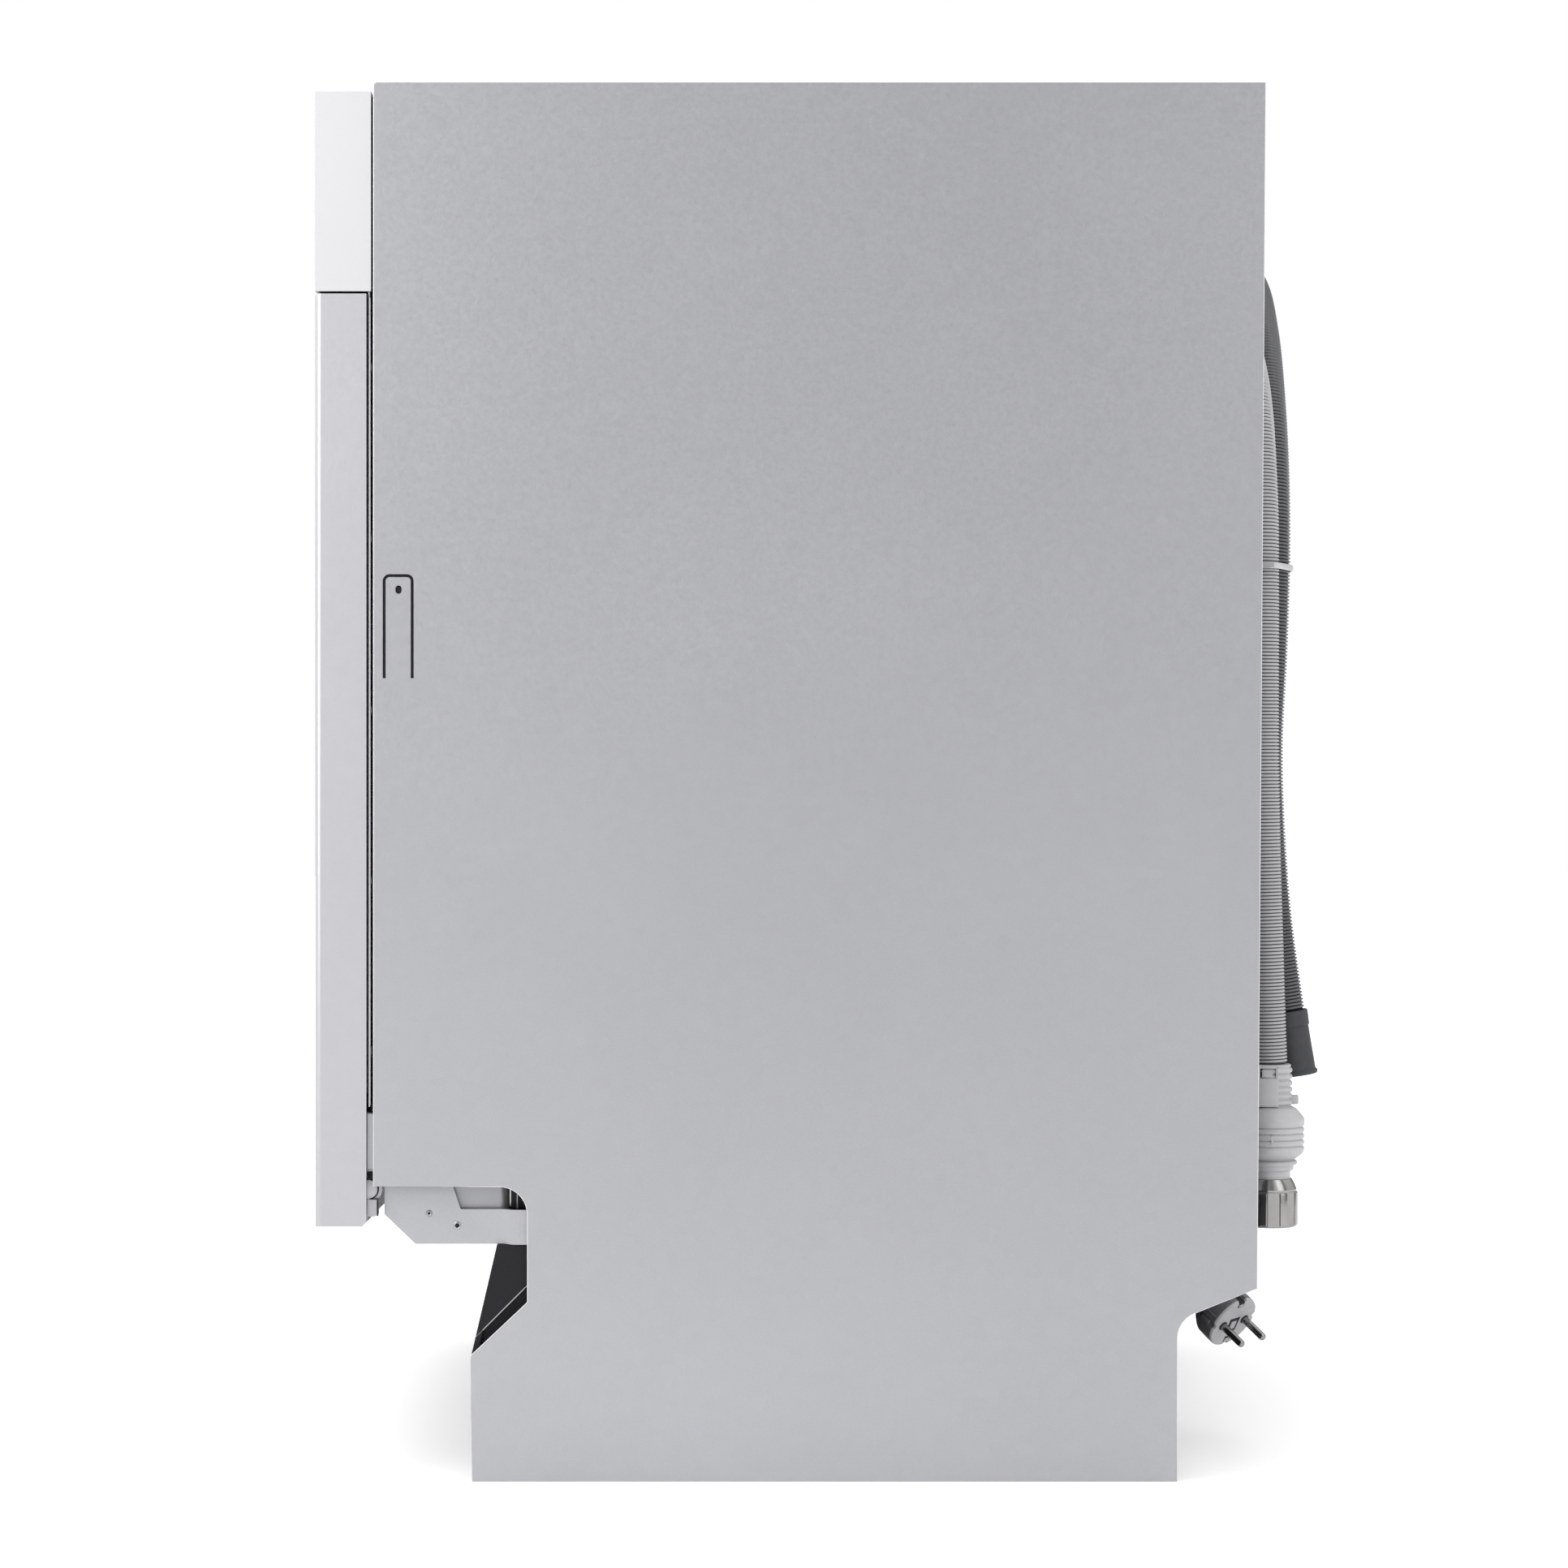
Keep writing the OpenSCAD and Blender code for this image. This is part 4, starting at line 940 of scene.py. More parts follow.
def door_seal():
    """A hollow rubber seal with a rounded crest and a lip, run up both sides and over the top."""
    low, high = node_box("door_gasket")
    x, base, crest = 281.0, high.y, low.y
    top = 785.4
    path = rounded([(-x, 0, low.z), (-x, 0, top), (x, 0, top), (x, 0, low.z)], 14, 8)
    section = [(-3.5, 0.0), (-3.5, 1.2), (-2.9, 2.6), (-1.6, 3.7), (0.2, 4.05), (1.8, 3.6), (2.4, 2.7),
               (3.4, 2.9), (3.5, 2.3), (2.6, 1.2), (3.3, 0.0)]
    centre = Vector((0, 0, 450))
    rings = []
    for i, p in enumerate(path):
        along = (path[min(i + 1, len(path) - 1)] - path[max(i - 1, 0)]).normalized()
        out = BACK.cross(along)
        if out.dot(p - centre) < 0:
            out = -out
        rings.append([p + out * a + Vector((0, base - b * (base - crest) / 4.1, 0)) for a, b in section])
    seal = Shape().loft(rings)
    return seal.piece("door_seal", "cabinet", "seal_rubber", replaces=["door_gasket"], smooth=50)


def frame_gap_painted_shade():
    """A black strip set back in the gap between the cabinet's front edge and the door, painted shade that
    keeps the gap dark.
    """
    shape = Shape()
    low, high = (286.8, CAB_Y - 3.4, 226), (291.5, CAB_Y - 0.1, SIDE_HIGH.z - 6)
    shape.box(low, high, 0.6)
    shape.mirrored()
    shape.box((-291.4, low[1], high[2] - 5.5), (291.4, high[1], high[2]), 0.6)
    return shape.piece("frame_gap_painted_shade", "cabinet", "seal_rubber")


def side_sills():
    """A folded sheet behind each hinge bracket, and black blocks beside it: painted shade in the gap at the
    base's edge.
    """
    shape = Shape()
    fold = [(286.6, -206), (286.6, -171), (285.8, -168.0), (283.4, -165.6), (279, -164.2), (276, -164.0)]
    inner = [(x - 0.9, y - (0.3 if y > -171 else 0)) for x, y in fold[::-1]]
    shape.prism(fold + inner, 139, 175.4)
    # Black blocks: painted shade in the gap behind the fold.
    shape.box((272, -163.4, 157.8), (285.4, -150, 175.2), 0.3, mark=1)
    shape.box((266, -172, 140), (273, -150, 175.6), 0.3, mark=1)
    shape.box((285.2, -160.0, 157.8), (286.0, -159.3, 175.2), 0.1)
    shape.mirrored()
    return shape.piece("side_sills", "cabinet", "galvanised_sheet", "black_plastic", smooth=50)


def kick_trim():
    """The thin lit edge of the plinth's cheek, and a black plate in the recess under it: painted shade."""
    shape = Shape()
    shape.tube([(293.7, -152.4, 114.5), (293.7, -183.2, 83.7)], 0.33, 8, mark=1)
    # Black plate in the recess: painted shade.
    shape.prism([(-152.8, 113.8), (-183.5, 83.2), (-186, 72), (-152.8, 104)], 289.6, 290.4,
                FACING_RIGHT)
    shape.mirrored()
    return shape.piece("kick_trim", "cabinet", "black_plastic", "galvanised_sheet")


def hinge_details():
    """Ribbed guides beside each hinge pin, a black ring round it that paints the shade of the gap round the
    pin, and its two heads.
    """
    y0, y1 = HINGE.y - 0.6, HINGE.y + 3.2
    on_axis = moved(0, HINGE.y, HINGE.z) @ TO_RIGHT
    shape = Shape()
    for k in range(3):
        z = 176.2 + 1.25 * k
        shape.box((294.05, y0, z), (295.9, y1 + 0.1 * k, z + 0.85), 0.2)
    shape.box((294.02, y0, 175.8), (295.0, y1, 180.2), 0.1)
    # Black ring round the pin: painted shade of the gap between the arm's boss and the pin's head.
    shape.revolve([(5.55, 294.05), (6.2, 294.05), (6.2, 294.5), (5.55, 294.5)], 48, on_axis, closed=True)
    shape.box((295.5, HINGE.y + 5.1, 154.4), (296.1, HINGE.y + 6.1, 163.8), 0.1)
    shape.box((295.5, HINGE.y + 0.8, 164.0), (296.1, HINGE.y + 6.1, 164.6), 0.1)
    shape.mirrored()
    guides = shape.piece("hinge_guides", "door", "black_plastic")
    heads = Shape()
    outer = PIN_HIGH.x
    heads.revolve([(0, outer - 1.6), (5.45, outer - 1.6), (5.45, outer - 0.35), (5.2, outer - 0.1),
                   (4.7, outer - 0.05), (4.5, outer - 0.35), (3.0, outer - 0.2), (0, outer - 0.12)],
                  56, on_axis)
    heads.revolve([(0, 288.0), (5.4, 288.0), (5.5, 288.2), (5.5, 289.4), (4.0, 289.6), (4.0, outer - 1.4),
                   (0, outer - 1.4)], 48, on_axis)
    heads.mirrored()
    pins = heads.piece("hinge_pin_heads", "cabinet", "galvanised_sheet", replaces=["hinge_pins"], smooth=35)
    return [guides, pins]


def springs():
    """Wound balance springs with a hook at each end."""
    low, high = node_box("balance_springs")
    x, y = 293.2, (low.y + high.y) / 2
    wire, coil = 0.75, 3.5
    shape = Shape()
    turns, per_turn = 46, 12
    z0, z1 = low.z + 6, high.z - 6
    steps = turns * per_turn
    helix = []
    for i in range(steps + 1):
        a = 2 * math.pi * i / per_turn
        helix.append((x + coil * math.cos(a), y + coil * math.sin(a), z0 + (z1 - z0) * i / steps))
    shape.tube(helix, wire, 7)
    for z, way in ((z0, -1), (z1, 1)):
        hook = [(x + coil, y, z), (x + 2.2, y, z + way * 1.6), (x, y, z + way * 2.2)]
        hook += [(x, y + r, h) for r, h in arc(0, z + way * 3.6, 1.9, -90 * way, 180 * way, 10)]
        shape.tube(hook, wire * 0.9, 7)
    shape.mirrored()
    return shape.piece("wound_springs", "cabinet", "spring_steel", replaces=["balance_springs"], weld=False,
                       smooth=70)


def base_ribs():
    """Stiffening ribs moulded on the base's rear wall and sides, and a rim round its top."""
    wall = 225.0
    shape = Shape()
    for x in list(range(-270, -205, 22)) + list(range(-110, -80, 22)) + list(range(-24, 275, 22)):
        shape.box((x - 1, wall - 0.4, 6), (x + 1, wall + 1.8, 150), 0.5)
    for z in (50, 104):
        for x0, x1 in ((-286, -206), (-112, -78), (-36, 286)):
            shape.box((x0, wall - 0.4, z - 1), (x1, wall + 1.2, z + 1), 0.4)
    shape.box((-287.4, wall - 2.4, 152.6), (287.4, wall + 2.0, 157.3), 0.8)
    return shape.piece("base_ribs", "cabinet", "black_plastic")


def threaded_foot(name):
    """A levelling foot: a six-sided base with a round pad, and a threaded stem."""
    low, high = node_box(name)
    x, y = (low.x + high.x) / 2, (low.y + high.y) / 2
    shape = Shape()
    pad = (high.x - low.x) / 2
    shape.revolve([(0, 0), (pad - 1.2, 0), (pad - 0.2, 0.8), (pad, 1.6), (pad, 2.6), (pad - 0.8, 3.4),
                   (0, 3.4)], 48, moved(x, y, 0))
    hexagon = [((pad - 1.0) * math.cos(math.radians(60 * k)), (pad - 1.0) * math.sin(math.radians(60 * k)))
               for k in range(6)]
    shape.prism(hexagon, 3.2, 7.9, moved(x, y, 0))
    stem = []
    z = 7.8
    while z < high.z - 2.2:
        stem += [(4.95, z), (4.95, z + 0.35), (4.1, z + 1.0), (4.1, z + 1.3)]
        z += 1.9
    stem = [(0, 7.8)] + stem + [(4.0, high.z - 1.0), (3.2, high.z), (0, high.z)]
    shape.revolve(stem, 28, moved(x, y, 0), mark=1)
    return shape.piece(name.replace("foot", "levelling_foot"), name, "dark_grey_plastic", "spring_steel",
                       replaces=[name], smooth=32)


def make_cabinet():
    panel_edges()
    rivets_and_screws()
    rear_sheet_details()
    roof_mat()
    door_seal()
    tongue_details()
    frame_gap_painted_shade()
    side_sills()
    kick_trim()
    hinge_details()
    springs()
    base_ribs()
    for name in ("foot_front_left", "foot_front_right", "foot_rear"):
        threaded_foot(name)


# ---- Inside the tub ----

def feed_pipe():
    """The riser on the rear wall, its swept elbow, the arm's socket and the roof sprayer."""
    foot = node_box("feed_pipe")[0].z
    y, top = 214.0, 766.0
    shape = Shape()
    shape.tube(rounded([(0, y, foot), (0, y, top), (0, 16, top)], 22, 12), 8.6, 28)
    shape.tube([(0, y, foot + rise) for rise in (0, 6, 8, 14)], [11, 11, 9.4, 8.6], 32)
    for z in (300, 620):
        shape.revolve([(8.4, z), (10.4, z), (10.6, z + 1), (10.6, z + 9), (10.4, z + 10), (8.4, z + 10)], 36,
                      moved(0, y, 0), closed=True)
        shape.box((-14, y + 4, z), (14, y + 11.5, z + 10), 1.0)
    shape.box((-14, 201.2, 472), (14, 213, 483), 1.6, segments=3)
    shape.revolve([(5, 0), (7.2, 0), (7.4, 0.6), (7.4, 2.0), (5, 2.2)], 32, moved(0, 201.6, 477.5) @ TO_FRONT,
                  closed=True)
    head = [(0, 750.2), (6, 750.4), (16, 751.4), (21, 753), (23.6, 756), (24, 759), (23.4, 763), (20, 767.5),
            (13, 771.5), (9, 773.4), (0, 773.8)]
    shape.revolve(head, 56)
    # Black dots for the sprayer's holes: painted shade.
    for ring, count in ((6, 6), (13, 12), (19, 18)):
        for k in range(count):
            a = 2 * math.pi * k / count
            z = 750.2 + ring * ring * 0.0052
            shape.revolve([(0, z - 0.25), (0.9, z - 0.25), (0.9, z + 0.3), (0, z + 0.3)], 10,
                          moved(ring * math.cos(a), ring * math.sin(a), 0), mark=1)
    return shape.piece("feed_riser", "cabinet", "grey_plastic", "black_plastic", replaces=["feed_pipe"])


def spray_arm(name, node, body):
    """A propeller of two rounded, tapering wings round a domed hub, with raised nozzles."""
    low, high = node_box(node)
    reach, z0 = high.x, low.z
    shape = Shape()
    rings = []
    sides = 28
    stations = 30
    for i in range(stations + 1):
        t = -1 + 2 * i / stations
        x = t * (reach - 0.2)
        end = max(0.0, 1 - abs(t) ** 14) ** 0.5
        half_w = max(0.4, (18.5 - 7 * abs(t)) * end)
        half_h = max(0.3, (5.2 - 1.2 * abs(t)) * end)
        skew = 3.0 * t
        ring = []
        for k in range(sides):
            a = 2 * math.pi * k / sides
            c, s = math.cos(a), math.sin(a)
            py = half_w * math.copysign(abs(c) ** 0.75, c) + skew
            pz = half_h * math.copysign(abs(s) ** 0.8, s)
            ring.append((x, py, z0 + 5.6 + pz - 0.02 * abs(py) ** 1.2))
        rings.append(ring)
    shape.loft(rings)
    hub = [(0, z0), (20, z0), (22, z0 + 1.4), (22, z0 + 6), (19, z0 + 9.5), (14, high.z), (0, high.z)]
    if body == "lower_arm":
        hub = [(8.2, z0), (21.4, z0), (22, z0 + 1), (22, z0 + 5), (20, z0 + 9), (15, z0 + 11.4),
               (8, high.z), (0, high.z)]
    shape.revolve(hub, 56)
    nozzle = [(0, -1.5), (2.6, -1.5), (2.5, 0.5), (1.8, 1.2), (1.3, 1.2), (1.2, 0.6), (0, 0.5)]
    for i, share in enumerate((0.24, 0.38, 0.52, 0.66, 0.79, 0.91)):
        for way in (-1, 1):
            x = way * share * reach
            y = 3.0 * way * share + (4 if i % 2 else -4) * (1 - share * 0.5)
            h = z0 + 9.4 - 1.1 * share
            at = moved(x, y, h) @ Matrix.Scale(1.6, 4, (0, 1, 0))
            shape.revolve(nozzle, 20, at)
            # A black disc in each nozzle's mouth: painted shade of its opening.
            shape.revolve([(0, 0.4), (1.15, 0.4), (1.15, 0.75), (0, 0.75)], 16, at, mark=1)
    for way in (-1, 1):
        path = [(way * x, 3.0 * way * x / reach + 1.5 * way, z0 + 10.6 - 1.15 * x / reach)
                for x in np.linspace(26, reach - 18, 14)]
        shape.tube(path, [0.4] + [0.8] * 12 + [0.4], 8)
    return shape.piece(name, body, "grey_plastic", "black_plastic", replaces=[node], smooth=50)


BASKET_X, BASKET_Y, WIRE_R = 255.0, 205.0, 1.8


def wire_rack(shape, z0, height, nx, ny):
    """Bent wires across and along, and two thicker rims round them."""
    x1, y1 = BASKET_X - 2 * WIRE_R, BASKET_Y - 2 * WIRE_R
    top = z0 + height - 2
    for i in range(nx + 1):
        x = -x1 + 2 * x1 * i / nx
        x = max(-x1 + 10, min(x1 - 10, x))
        z = z0 + WIRE_R
        shape.tube(rounded([(x, -y1, top), (x, -y1, z), (x, y1, z), (x, y1, top)], 16, 6), WIRE_R, 8)
    for j in range(ny + 1):
        y = -y1 + 2 * y1 * j / ny
        y = max(-y1 + 10, min(y1 - 10, y))
        z = z0 + WIRE_R * 2.8
        shape.tube(rounded([(-x1, y, top), (-x1, y, z), (x1, y, z), (x1, y, top)], 16, 6), WIRE_R, 8)
    for z, r, out in ((z0 + height / 2, WIRE_R, 1.6), (z0 + height - 2.4, 2.4, 0.0)):
        rx, ry = x1 + out, y1 + out
        loop = rounded([(-rx, -ry, z), (rx, -ry, z), (rx, ry, z), (-rx, ry, z)], 22, 8, closed=True)
        shape.tube(loop, r, 10, closed=True)


def tine_rows(shape, z0, height):
    """Rows of upright tines that plates lean on, each row on its own foot wire."""
    for y in (-142, -92, -42, 8, 58, 108):
        y += WIRE_R
        foot = z0 + WIRE_R * 4.6
        shape.tube([(51, y, foot), (240, y, foot)], WIRE_R, 8)
        for i in range(8):
            x = 52.8 + (236.4 - 52.8) * i / 7
            tip = z0 + height
            heights = (foot, tip - 1.8, tip - 0.6, tip)
            shape.tube([(x, y, z) for z in heights], [1.7, 1.7, 1.3, 0.3], 8)


def basket_handle(shape, top, depth, face_top):
    """The moulded grip over a basket's front rims, with a raised face."""
    y = -BASKET_Y
    shape.box((-78, y - 3.4, top - depth), (78, y + 4.6, top), 3.2, mark=1, segments=4)
    shape.box((-62, y - 4.2, top - face_top - 10), (62, y - 3.0, top - face_top), 0.6, mark=1)


def lower_basket():
    high = node_box("lower_basket")[1]
    z0 = 228.0
    shape = Shape()
    wire_rack(shape, z0, high.z - z0, 13, 11)
    tine_rows(shape, z0, 63)
    for y in (-150, 150):
        shape.box((243, y - 5.5, 200.5), (246.6, y + 5.5, 233), 1.0, mark=1)
        shape.box((-246.6, y - 5.5, 200.5), (-243, y + 5.5, 233), 1.0, mark=1)
        for side in (-1, 1):
            at = moved(side * 246, y, 205) @ turned(90 * side, "Y")
            axle = [(0, 0), (2.95, 0), (2.95, 13.6), (4.6, 13.8), (4.6, 15.4), (3.8, 16), (0, 16)]
            shape.revolve(axle, 28, at, mark=1)
    basket_handle(shape, high.z, 26, 8)
    return shape.piece("lower_basket_wires", "lower_basket", "coated_wire", "grey_plastic",
                       replaces=["lower_basket"], weld=False, smooth=50)


def upper_basket():
    low, high = node_box("upper_basket")
    z0 = low.z
    shape = Shape()
    wire_rack(shape, z0, high.z - z0, 13, 11)
    tine_rows(shape, z0, 51)
    for side in (-1, 1):
        for y in (-170, 110, 180):
            at = moved(side * 253, y, 560) @ turned(90 * side, "Y")
            shape.revolve([(0, 0), (3.9, 0), (3.9, 11.3), (8.4, 11.4), (9.3, 12.4), (9.5, 14), (9.5, 20),
                           (9.3, 21.6), (8.4, 22.4), (5.0, 22.5), (4.4, 21.8), (0, 21.8)], 40, at, mark=1)
        x0, x1 = sorted((side * 251.4, side * 255))
        shape.box((x0, -182, 549), (x1, 190, 565), 1.4, mark=1, segments=3)
        for y in (-120, -60, 0, 60):
            shape.box((x0 - 0.5, y - 14, 553), (x1 + 0.5, y + 14, 561), 1.2, mark=1)
    basket_handle(shape, high.z, 24, 7)
    return shape.piece("upper_basket_wires", "upper_basket", "coated_wire", "grey_plastic",
                       replaces=["upper_basket"], weld=False, smooth=50)


def cup_shelf():
    low, high = node_box("cup_shelf")
    z = (low.z + high.z) / 2
    shape = Shape()
    shape.tube([(-245, low.y + 1, z), (-245, high.y - 1, z)], 1.9, 12)
    frame_path = rounded([(-245, low.y + 2, z), (low.x + 87, low.y + 2, z), (low.x + 87, high.y - 2, z),
                          (-245, high.y - 2, z)], 14, 8)
    shape.tube(frame_path, 1.8, 10)
    for k in range(13):
        y = low.y + 14 + (high.y - low.y - 28) * k / 12
        shape.tube([(-245, y, z), (-236, y, z + 0.4), (-170, y, z + 0.4), (low.x + 87, y, z)], 1.4, 8)
    return shape.piece("cup_shelf_wires", "cup_shelf", "coated_wire", replaces=["cup_shelf"],
                       weld=False, smooth=50)


def basket_wheels(node, body, y):
    shape = Shape()
    profile = [(3.15, 0.6), (5.4, 0.6), (5.6, 2.6), (11.4, 3.4), (11.9, 0.9), (13.4, 0.3), (14.4, 1.2),
               (14.7, 3.2), (14.7, 6.8), (14.4, 8.8), (13.4, 9.7), (11.9, 9.1), (11.4, 6.6), (5.6, 7.4),
               (5.4, 9.7), (3.15, 9.7)]
    at = moved(249, y, 205) @ TO_RIGHT
    shape.revolve(profile, 56, at, closed=True)
    for k in range(6):
        spoke = at @ turned(60 * k)
        shape.box((5.2, -0.9, 2.0), (12.0, 0.9, 8.0), 0.4, spoke)
    shape.mirrored()
    return shape.piece(body + "_tyres", body, "grey_plastic", replaces=[node], smooth=40)


def cutlery_basket():
    """A lattice basket of four cells with a solid rim, open between its bars."""
    low, high = node_box("cutlery_basket")
    shape = Shape()
    bar = 1.1
    walls_y = [low.y + 1 + (high.y - low.y - 2) * i / 4 for i in range(5)]
    for x in (low.x + bar, high.x - bar):
        count = 26
        for k in range(count + 1):
            y = low.y + bar + (high.y - low.y - 2 * bar) * k / count
            shape.box((x - bar, y - bar, low.z + 2), (x + bar, y + bar, high.z - 3), 0.3, segments=1)
        for z in (low.z + 14, low.z + 42, low.z + 70):
            shape.box((x - bar, low.y, z), (x + bar, high.y, z + 2.2), 0.3, segments=1)
    for y in walls_y:
        for k in range(8):
            x = low.x + bar + (high.x - low.x - 2 * bar) * k / 7
            shape.box((x - bar, y - bar, low.z + 2), (x + bar, y + bar, high.z - 3), 0.3, segments=1)
        for z in (low.z + 14, low.z + 42, low.z + 70):
            shape.box((low.x, y - bar, z), (high.x, y + bar, z + 2.2), 0.3, segments=1)
        shape.box((low.x, y - 1.3, high.z - 9), (high.x, y + 1.3, high.z - 0.5), 0.7)
    for x in (low.x + 1.4, high.x - 1.4):
        shape.box((x - 1.4, low.y, high.z - 10), (x + 1.4, high.y, high.z), 0.8)
    for k in range(27):
        y = low.y + 2 + (high.y - low.y - 4) * k / 26
        shape.box((low.x + 1, y - bar, low.z), (high.x - 1, y + bar, low.z + 2.4), 0.3, segments=1)
    for k in range(1, 7):
        x = low.x + (high.x - low.x) * k / 7
        shape.box((x - bar, low.y, low.z + 0.2), (x + bar, high.y, low.z + 2.2), 0.3, segments=1)
    return shape.piece("cutlery_lattice", "lower_basket", "grey_plastic", replaces=["cutlery_basket"],
                       weld=False)


def tub_details():
    """Pressed ribs on the tub's walls, stops on the rails, and the filter's handle and ribs."""
    shape = Shape()
    wall = node_box("upper_rails")[1].x + 0.2
    for z in (300, 345, 390, 435, 640, 680, 720):
        shape.tube([(wall, -190, z), (wall - 0.6, -180, z), (wall - 0.6, 180, z), (wall, 190, z)],
                   [0.6, 2.2, 2.2, 0.6], 12)
    shape.mirrored()
    shape.piece("tub_pressings", "cabinet", "tub_steel", smooth=60)
    stops = Shape()
    rail = node_box("upper_rails")[1]
    stops.box((rail.x - 15, rail.y - 7, 548), (rail.x - 1.4, rail.y + 3, 572), 2.0, segments=3)
    stops.mirrored()
    stops.piece("rail_stops", "cabinet", "grey_plastic")
    low, high = node_box("filter_cup")
    cx, cy = (low.x + high.x) / 2, (low.y + high.y) / 2
    grip = Shape()
    grip.revolve([(30.2, high.z - 1.2), (36.6, high.z - 1.2), (36.8, high.z - 0.4), (36.2, high.z),
                  (34, high.z + 0.6), (30.6, high.z + 0.2)], 64, moved(cx, cy, 0), closed=True)
    for k in range(12):
        turn = moved(cx, cy, 0) @ turned(30 * k)
        grip.box((29.0, -1.0, low.z + 4), (31.9, 1.0, high.z - 1), 0.4, turn)
    grip.box((cx - 29.4, cy - 2.2, high.z - 5), (cx + 29.4, cy + 2.2, high.z + 0.8), 1.2)
    return grip.piece("filter_grip", "filter_cup", "grey_plastic")


def salt_cap_grip():
    low, high = node_box("salt_cap")
    cx, cy = (low.x + high.x) / 2, (low.y + high.y) / 2
    shape = Shape()
    for k in range(24):
        turn = moved(cx, cy, 0) @ turned(15 * k)
        shape.box((27.6, -1.3, 180.6), (29.5, 1.3, 184.6), 0.5, turn)
    ring = [(21.5, 184.8), (23.5, 184.8), (23.2, 185.8), (21.8, 185.8)]
    shape.revolve(ring, 48, moved(cx, cy, 0), closed=True)
    return shape.piece("salt_cap_ribs", "salt_cap", "blue_plastic")


def make_tub():
    feed_pipe()
    spray_arm("lower_arm_wings", "lower_spray_arm", "lower_arm")
    spray_arm("upper_arm_wings", "upper_spray_arm", "upper_arm")
    lower_basket()
    upper_basket()
    cup_shelf()
    basket_wheels("lower_front_wheels", "front_wheels", -150)
    basket_wheels("lower_rear_wheels", "rear_wheels", 150)
    cutlery_basket()
    tub_details()
    salt_cap_grip()


# ---- Door ----

def door_edges():
    """The folded rear hem along each side of the door, and the liner's white edge behind it."""
    shape = Shape()
    y, x = DOOR_HIGH.y - 0.3, DOOR_HIGH.x - 0.32
    shape.tube([(x, y, DOOR_LOW.z + 4), (x, y, DOOR_HIGH.z - 0.6)], 0.3, 8)
    shape.tube([(x, FRONT_Y + 4.2, DOOR_HIGH.z - 0.3), (x, y, DOOR_HIGH.z - 0.3)], 0.3, 8)
    shape.mirrored()
    shape.piece("door_hems", "door", "door_steel", weld=False, smooth=60)
    trim = Shape()
    trim.box((294.6, -245.3, 219), (296.6, -244.5, 690), 0.2)
    trim.mirrored()
    return trim.piece("liner_trim", "door", "panel_plastic")


def liner_screws():
    """Small screws round the edge of the door's inner liner."""
    shape = Shape()
    y = -244.8
    head = [(0, -0.2), (3.3, -0.2), (3.2, 0.35), (2.4, 0.8), (1.3, 0.85), (1.2, 0.5), (0, 0.45)]
    places = [(288, z) for z in range(250, 760, 100)] + [(x, 795) for x in (60, 130, 200, 262)]
    for x, z in places:
        shape.revolve(head, 24, moved(x, y, z) @ TO_BACK)
    shape.mirrored()
    return shape.piece("liner_screws", "door", "spring_steel", smooth=40)


SEGMENTS = {"a": ((-1, 2), (1, 2)), "b": ((1, 2), (1, 0)), "c": ((1, 0), (1, -2)), "d": ((-1, -2), (1, -2)),
            "e": ((-1, 0), (-1, -2)), "f": ((-1, 2), (-1, 0)), "g": ((-1, 0), (1, 0))}
DIGITS = {"1": "bc", "4": "bcfg", "5": "acdfg"}


def display():
    """A smoked window with a lit time, and small lamps beside the buttons."""
    y = FRONT_Y + 1.4
    glass = Shape().box((40.3, y - 1.3, 750.3), (129.7, y - 0.05, 773.7), 0.7, segments=3)
    glass.piece("display_window", "door", "panel_plastic", finish="dark_glass")
    lit = Shape()
    face = y - 1.36
    for place, digit in zip((62, 78, 90), "145"):
        for s in DIGITS[digit]:
            (ax, az), (bx, bz) = SEGMENTS[s]
            x0, x1 = sorted((place + ax * 3.2, place + bx * 3.2))
            z0, z1 = sorted((762 + az * 3.1, 762 + bz * 3.1))
            gap_x, gap_z = (0.5, 0) if ax != bx else (0, 0.5)
            lit.box((x0 - 0.45 + gap_x, face, z0 - 0.45 + gap_z),
                    (x1 + 0.45 - gap_x, face + 0.12, z1 + 0.45 - gap_z), 0.05)
    for z in (759.6, 764.4):
        lit.box((70.3, face, z - 0.5), (71.3, face + 0.12, z + 0.5), 0.05)
    for x, r in [(-244, 0.9), (244, 0.9)] + [(142 + 7 * k, 0.8) for k in range(5)]:
        lamp = moved(x, FRONT_Y + 0.26, 762) @ TO_FRONT
        lit.revolve([(0, 0), (r, 0), (r, 0.25), (0, 0.25)], 20, lamp)
    lit.piece("display_lamps", "door", "panel_plastic", finish="glow")


def button_marks():
    """Generic symbols on the buttons: a power ring, a choice arrow and a start triangle."""
    front = FRONT_Y + 0.1
    power = Shape()
    at = moved(-262, front, 762) @ TO_FRONT
    angles = np.linspace(math.radians(125), math.radians(415), 28)
    ring = [(3.0 * math.cos(a), 3.0 * math.sin(a), 0.0) for a in angles]
    power.tube(ring, 0.36, 8, matrix=at @ Matrix.Scale(0.2, 4, (0, 0, 1)))
    power.box((-0.36, 1.4, -0.07), (0.36, 4.2, 0.07), 0.05, at)
    power.piece("power_mark", "power_button", "dark_grey_plastic")
    choice = Shape()
    at = moved(190, front, 762) @ TO_FRONT
    for z0 in (-1.6, 1.0):
        choice.prism([(-2.6, z0), (0, z0 + 2.2), (2.6, z0), (2.0, z0 - 0.5), (0, z0 + 1.2), (-2.0, z0 - 0.5)],
                     -0.05, 0.07, at)
    choice.piece("choice_mark", "program_button", "dark_grey_plastic")
    start = Shape()
    at = moved(262, front, 762) @ TO_FRONT
    start.prism([(-2.2, -2.8), (3.0, 0), (-2.2, 2.8)], -0.05, 0.07, at)
    return start.piece("start_mark", "start_button", "dark_grey_plastic")


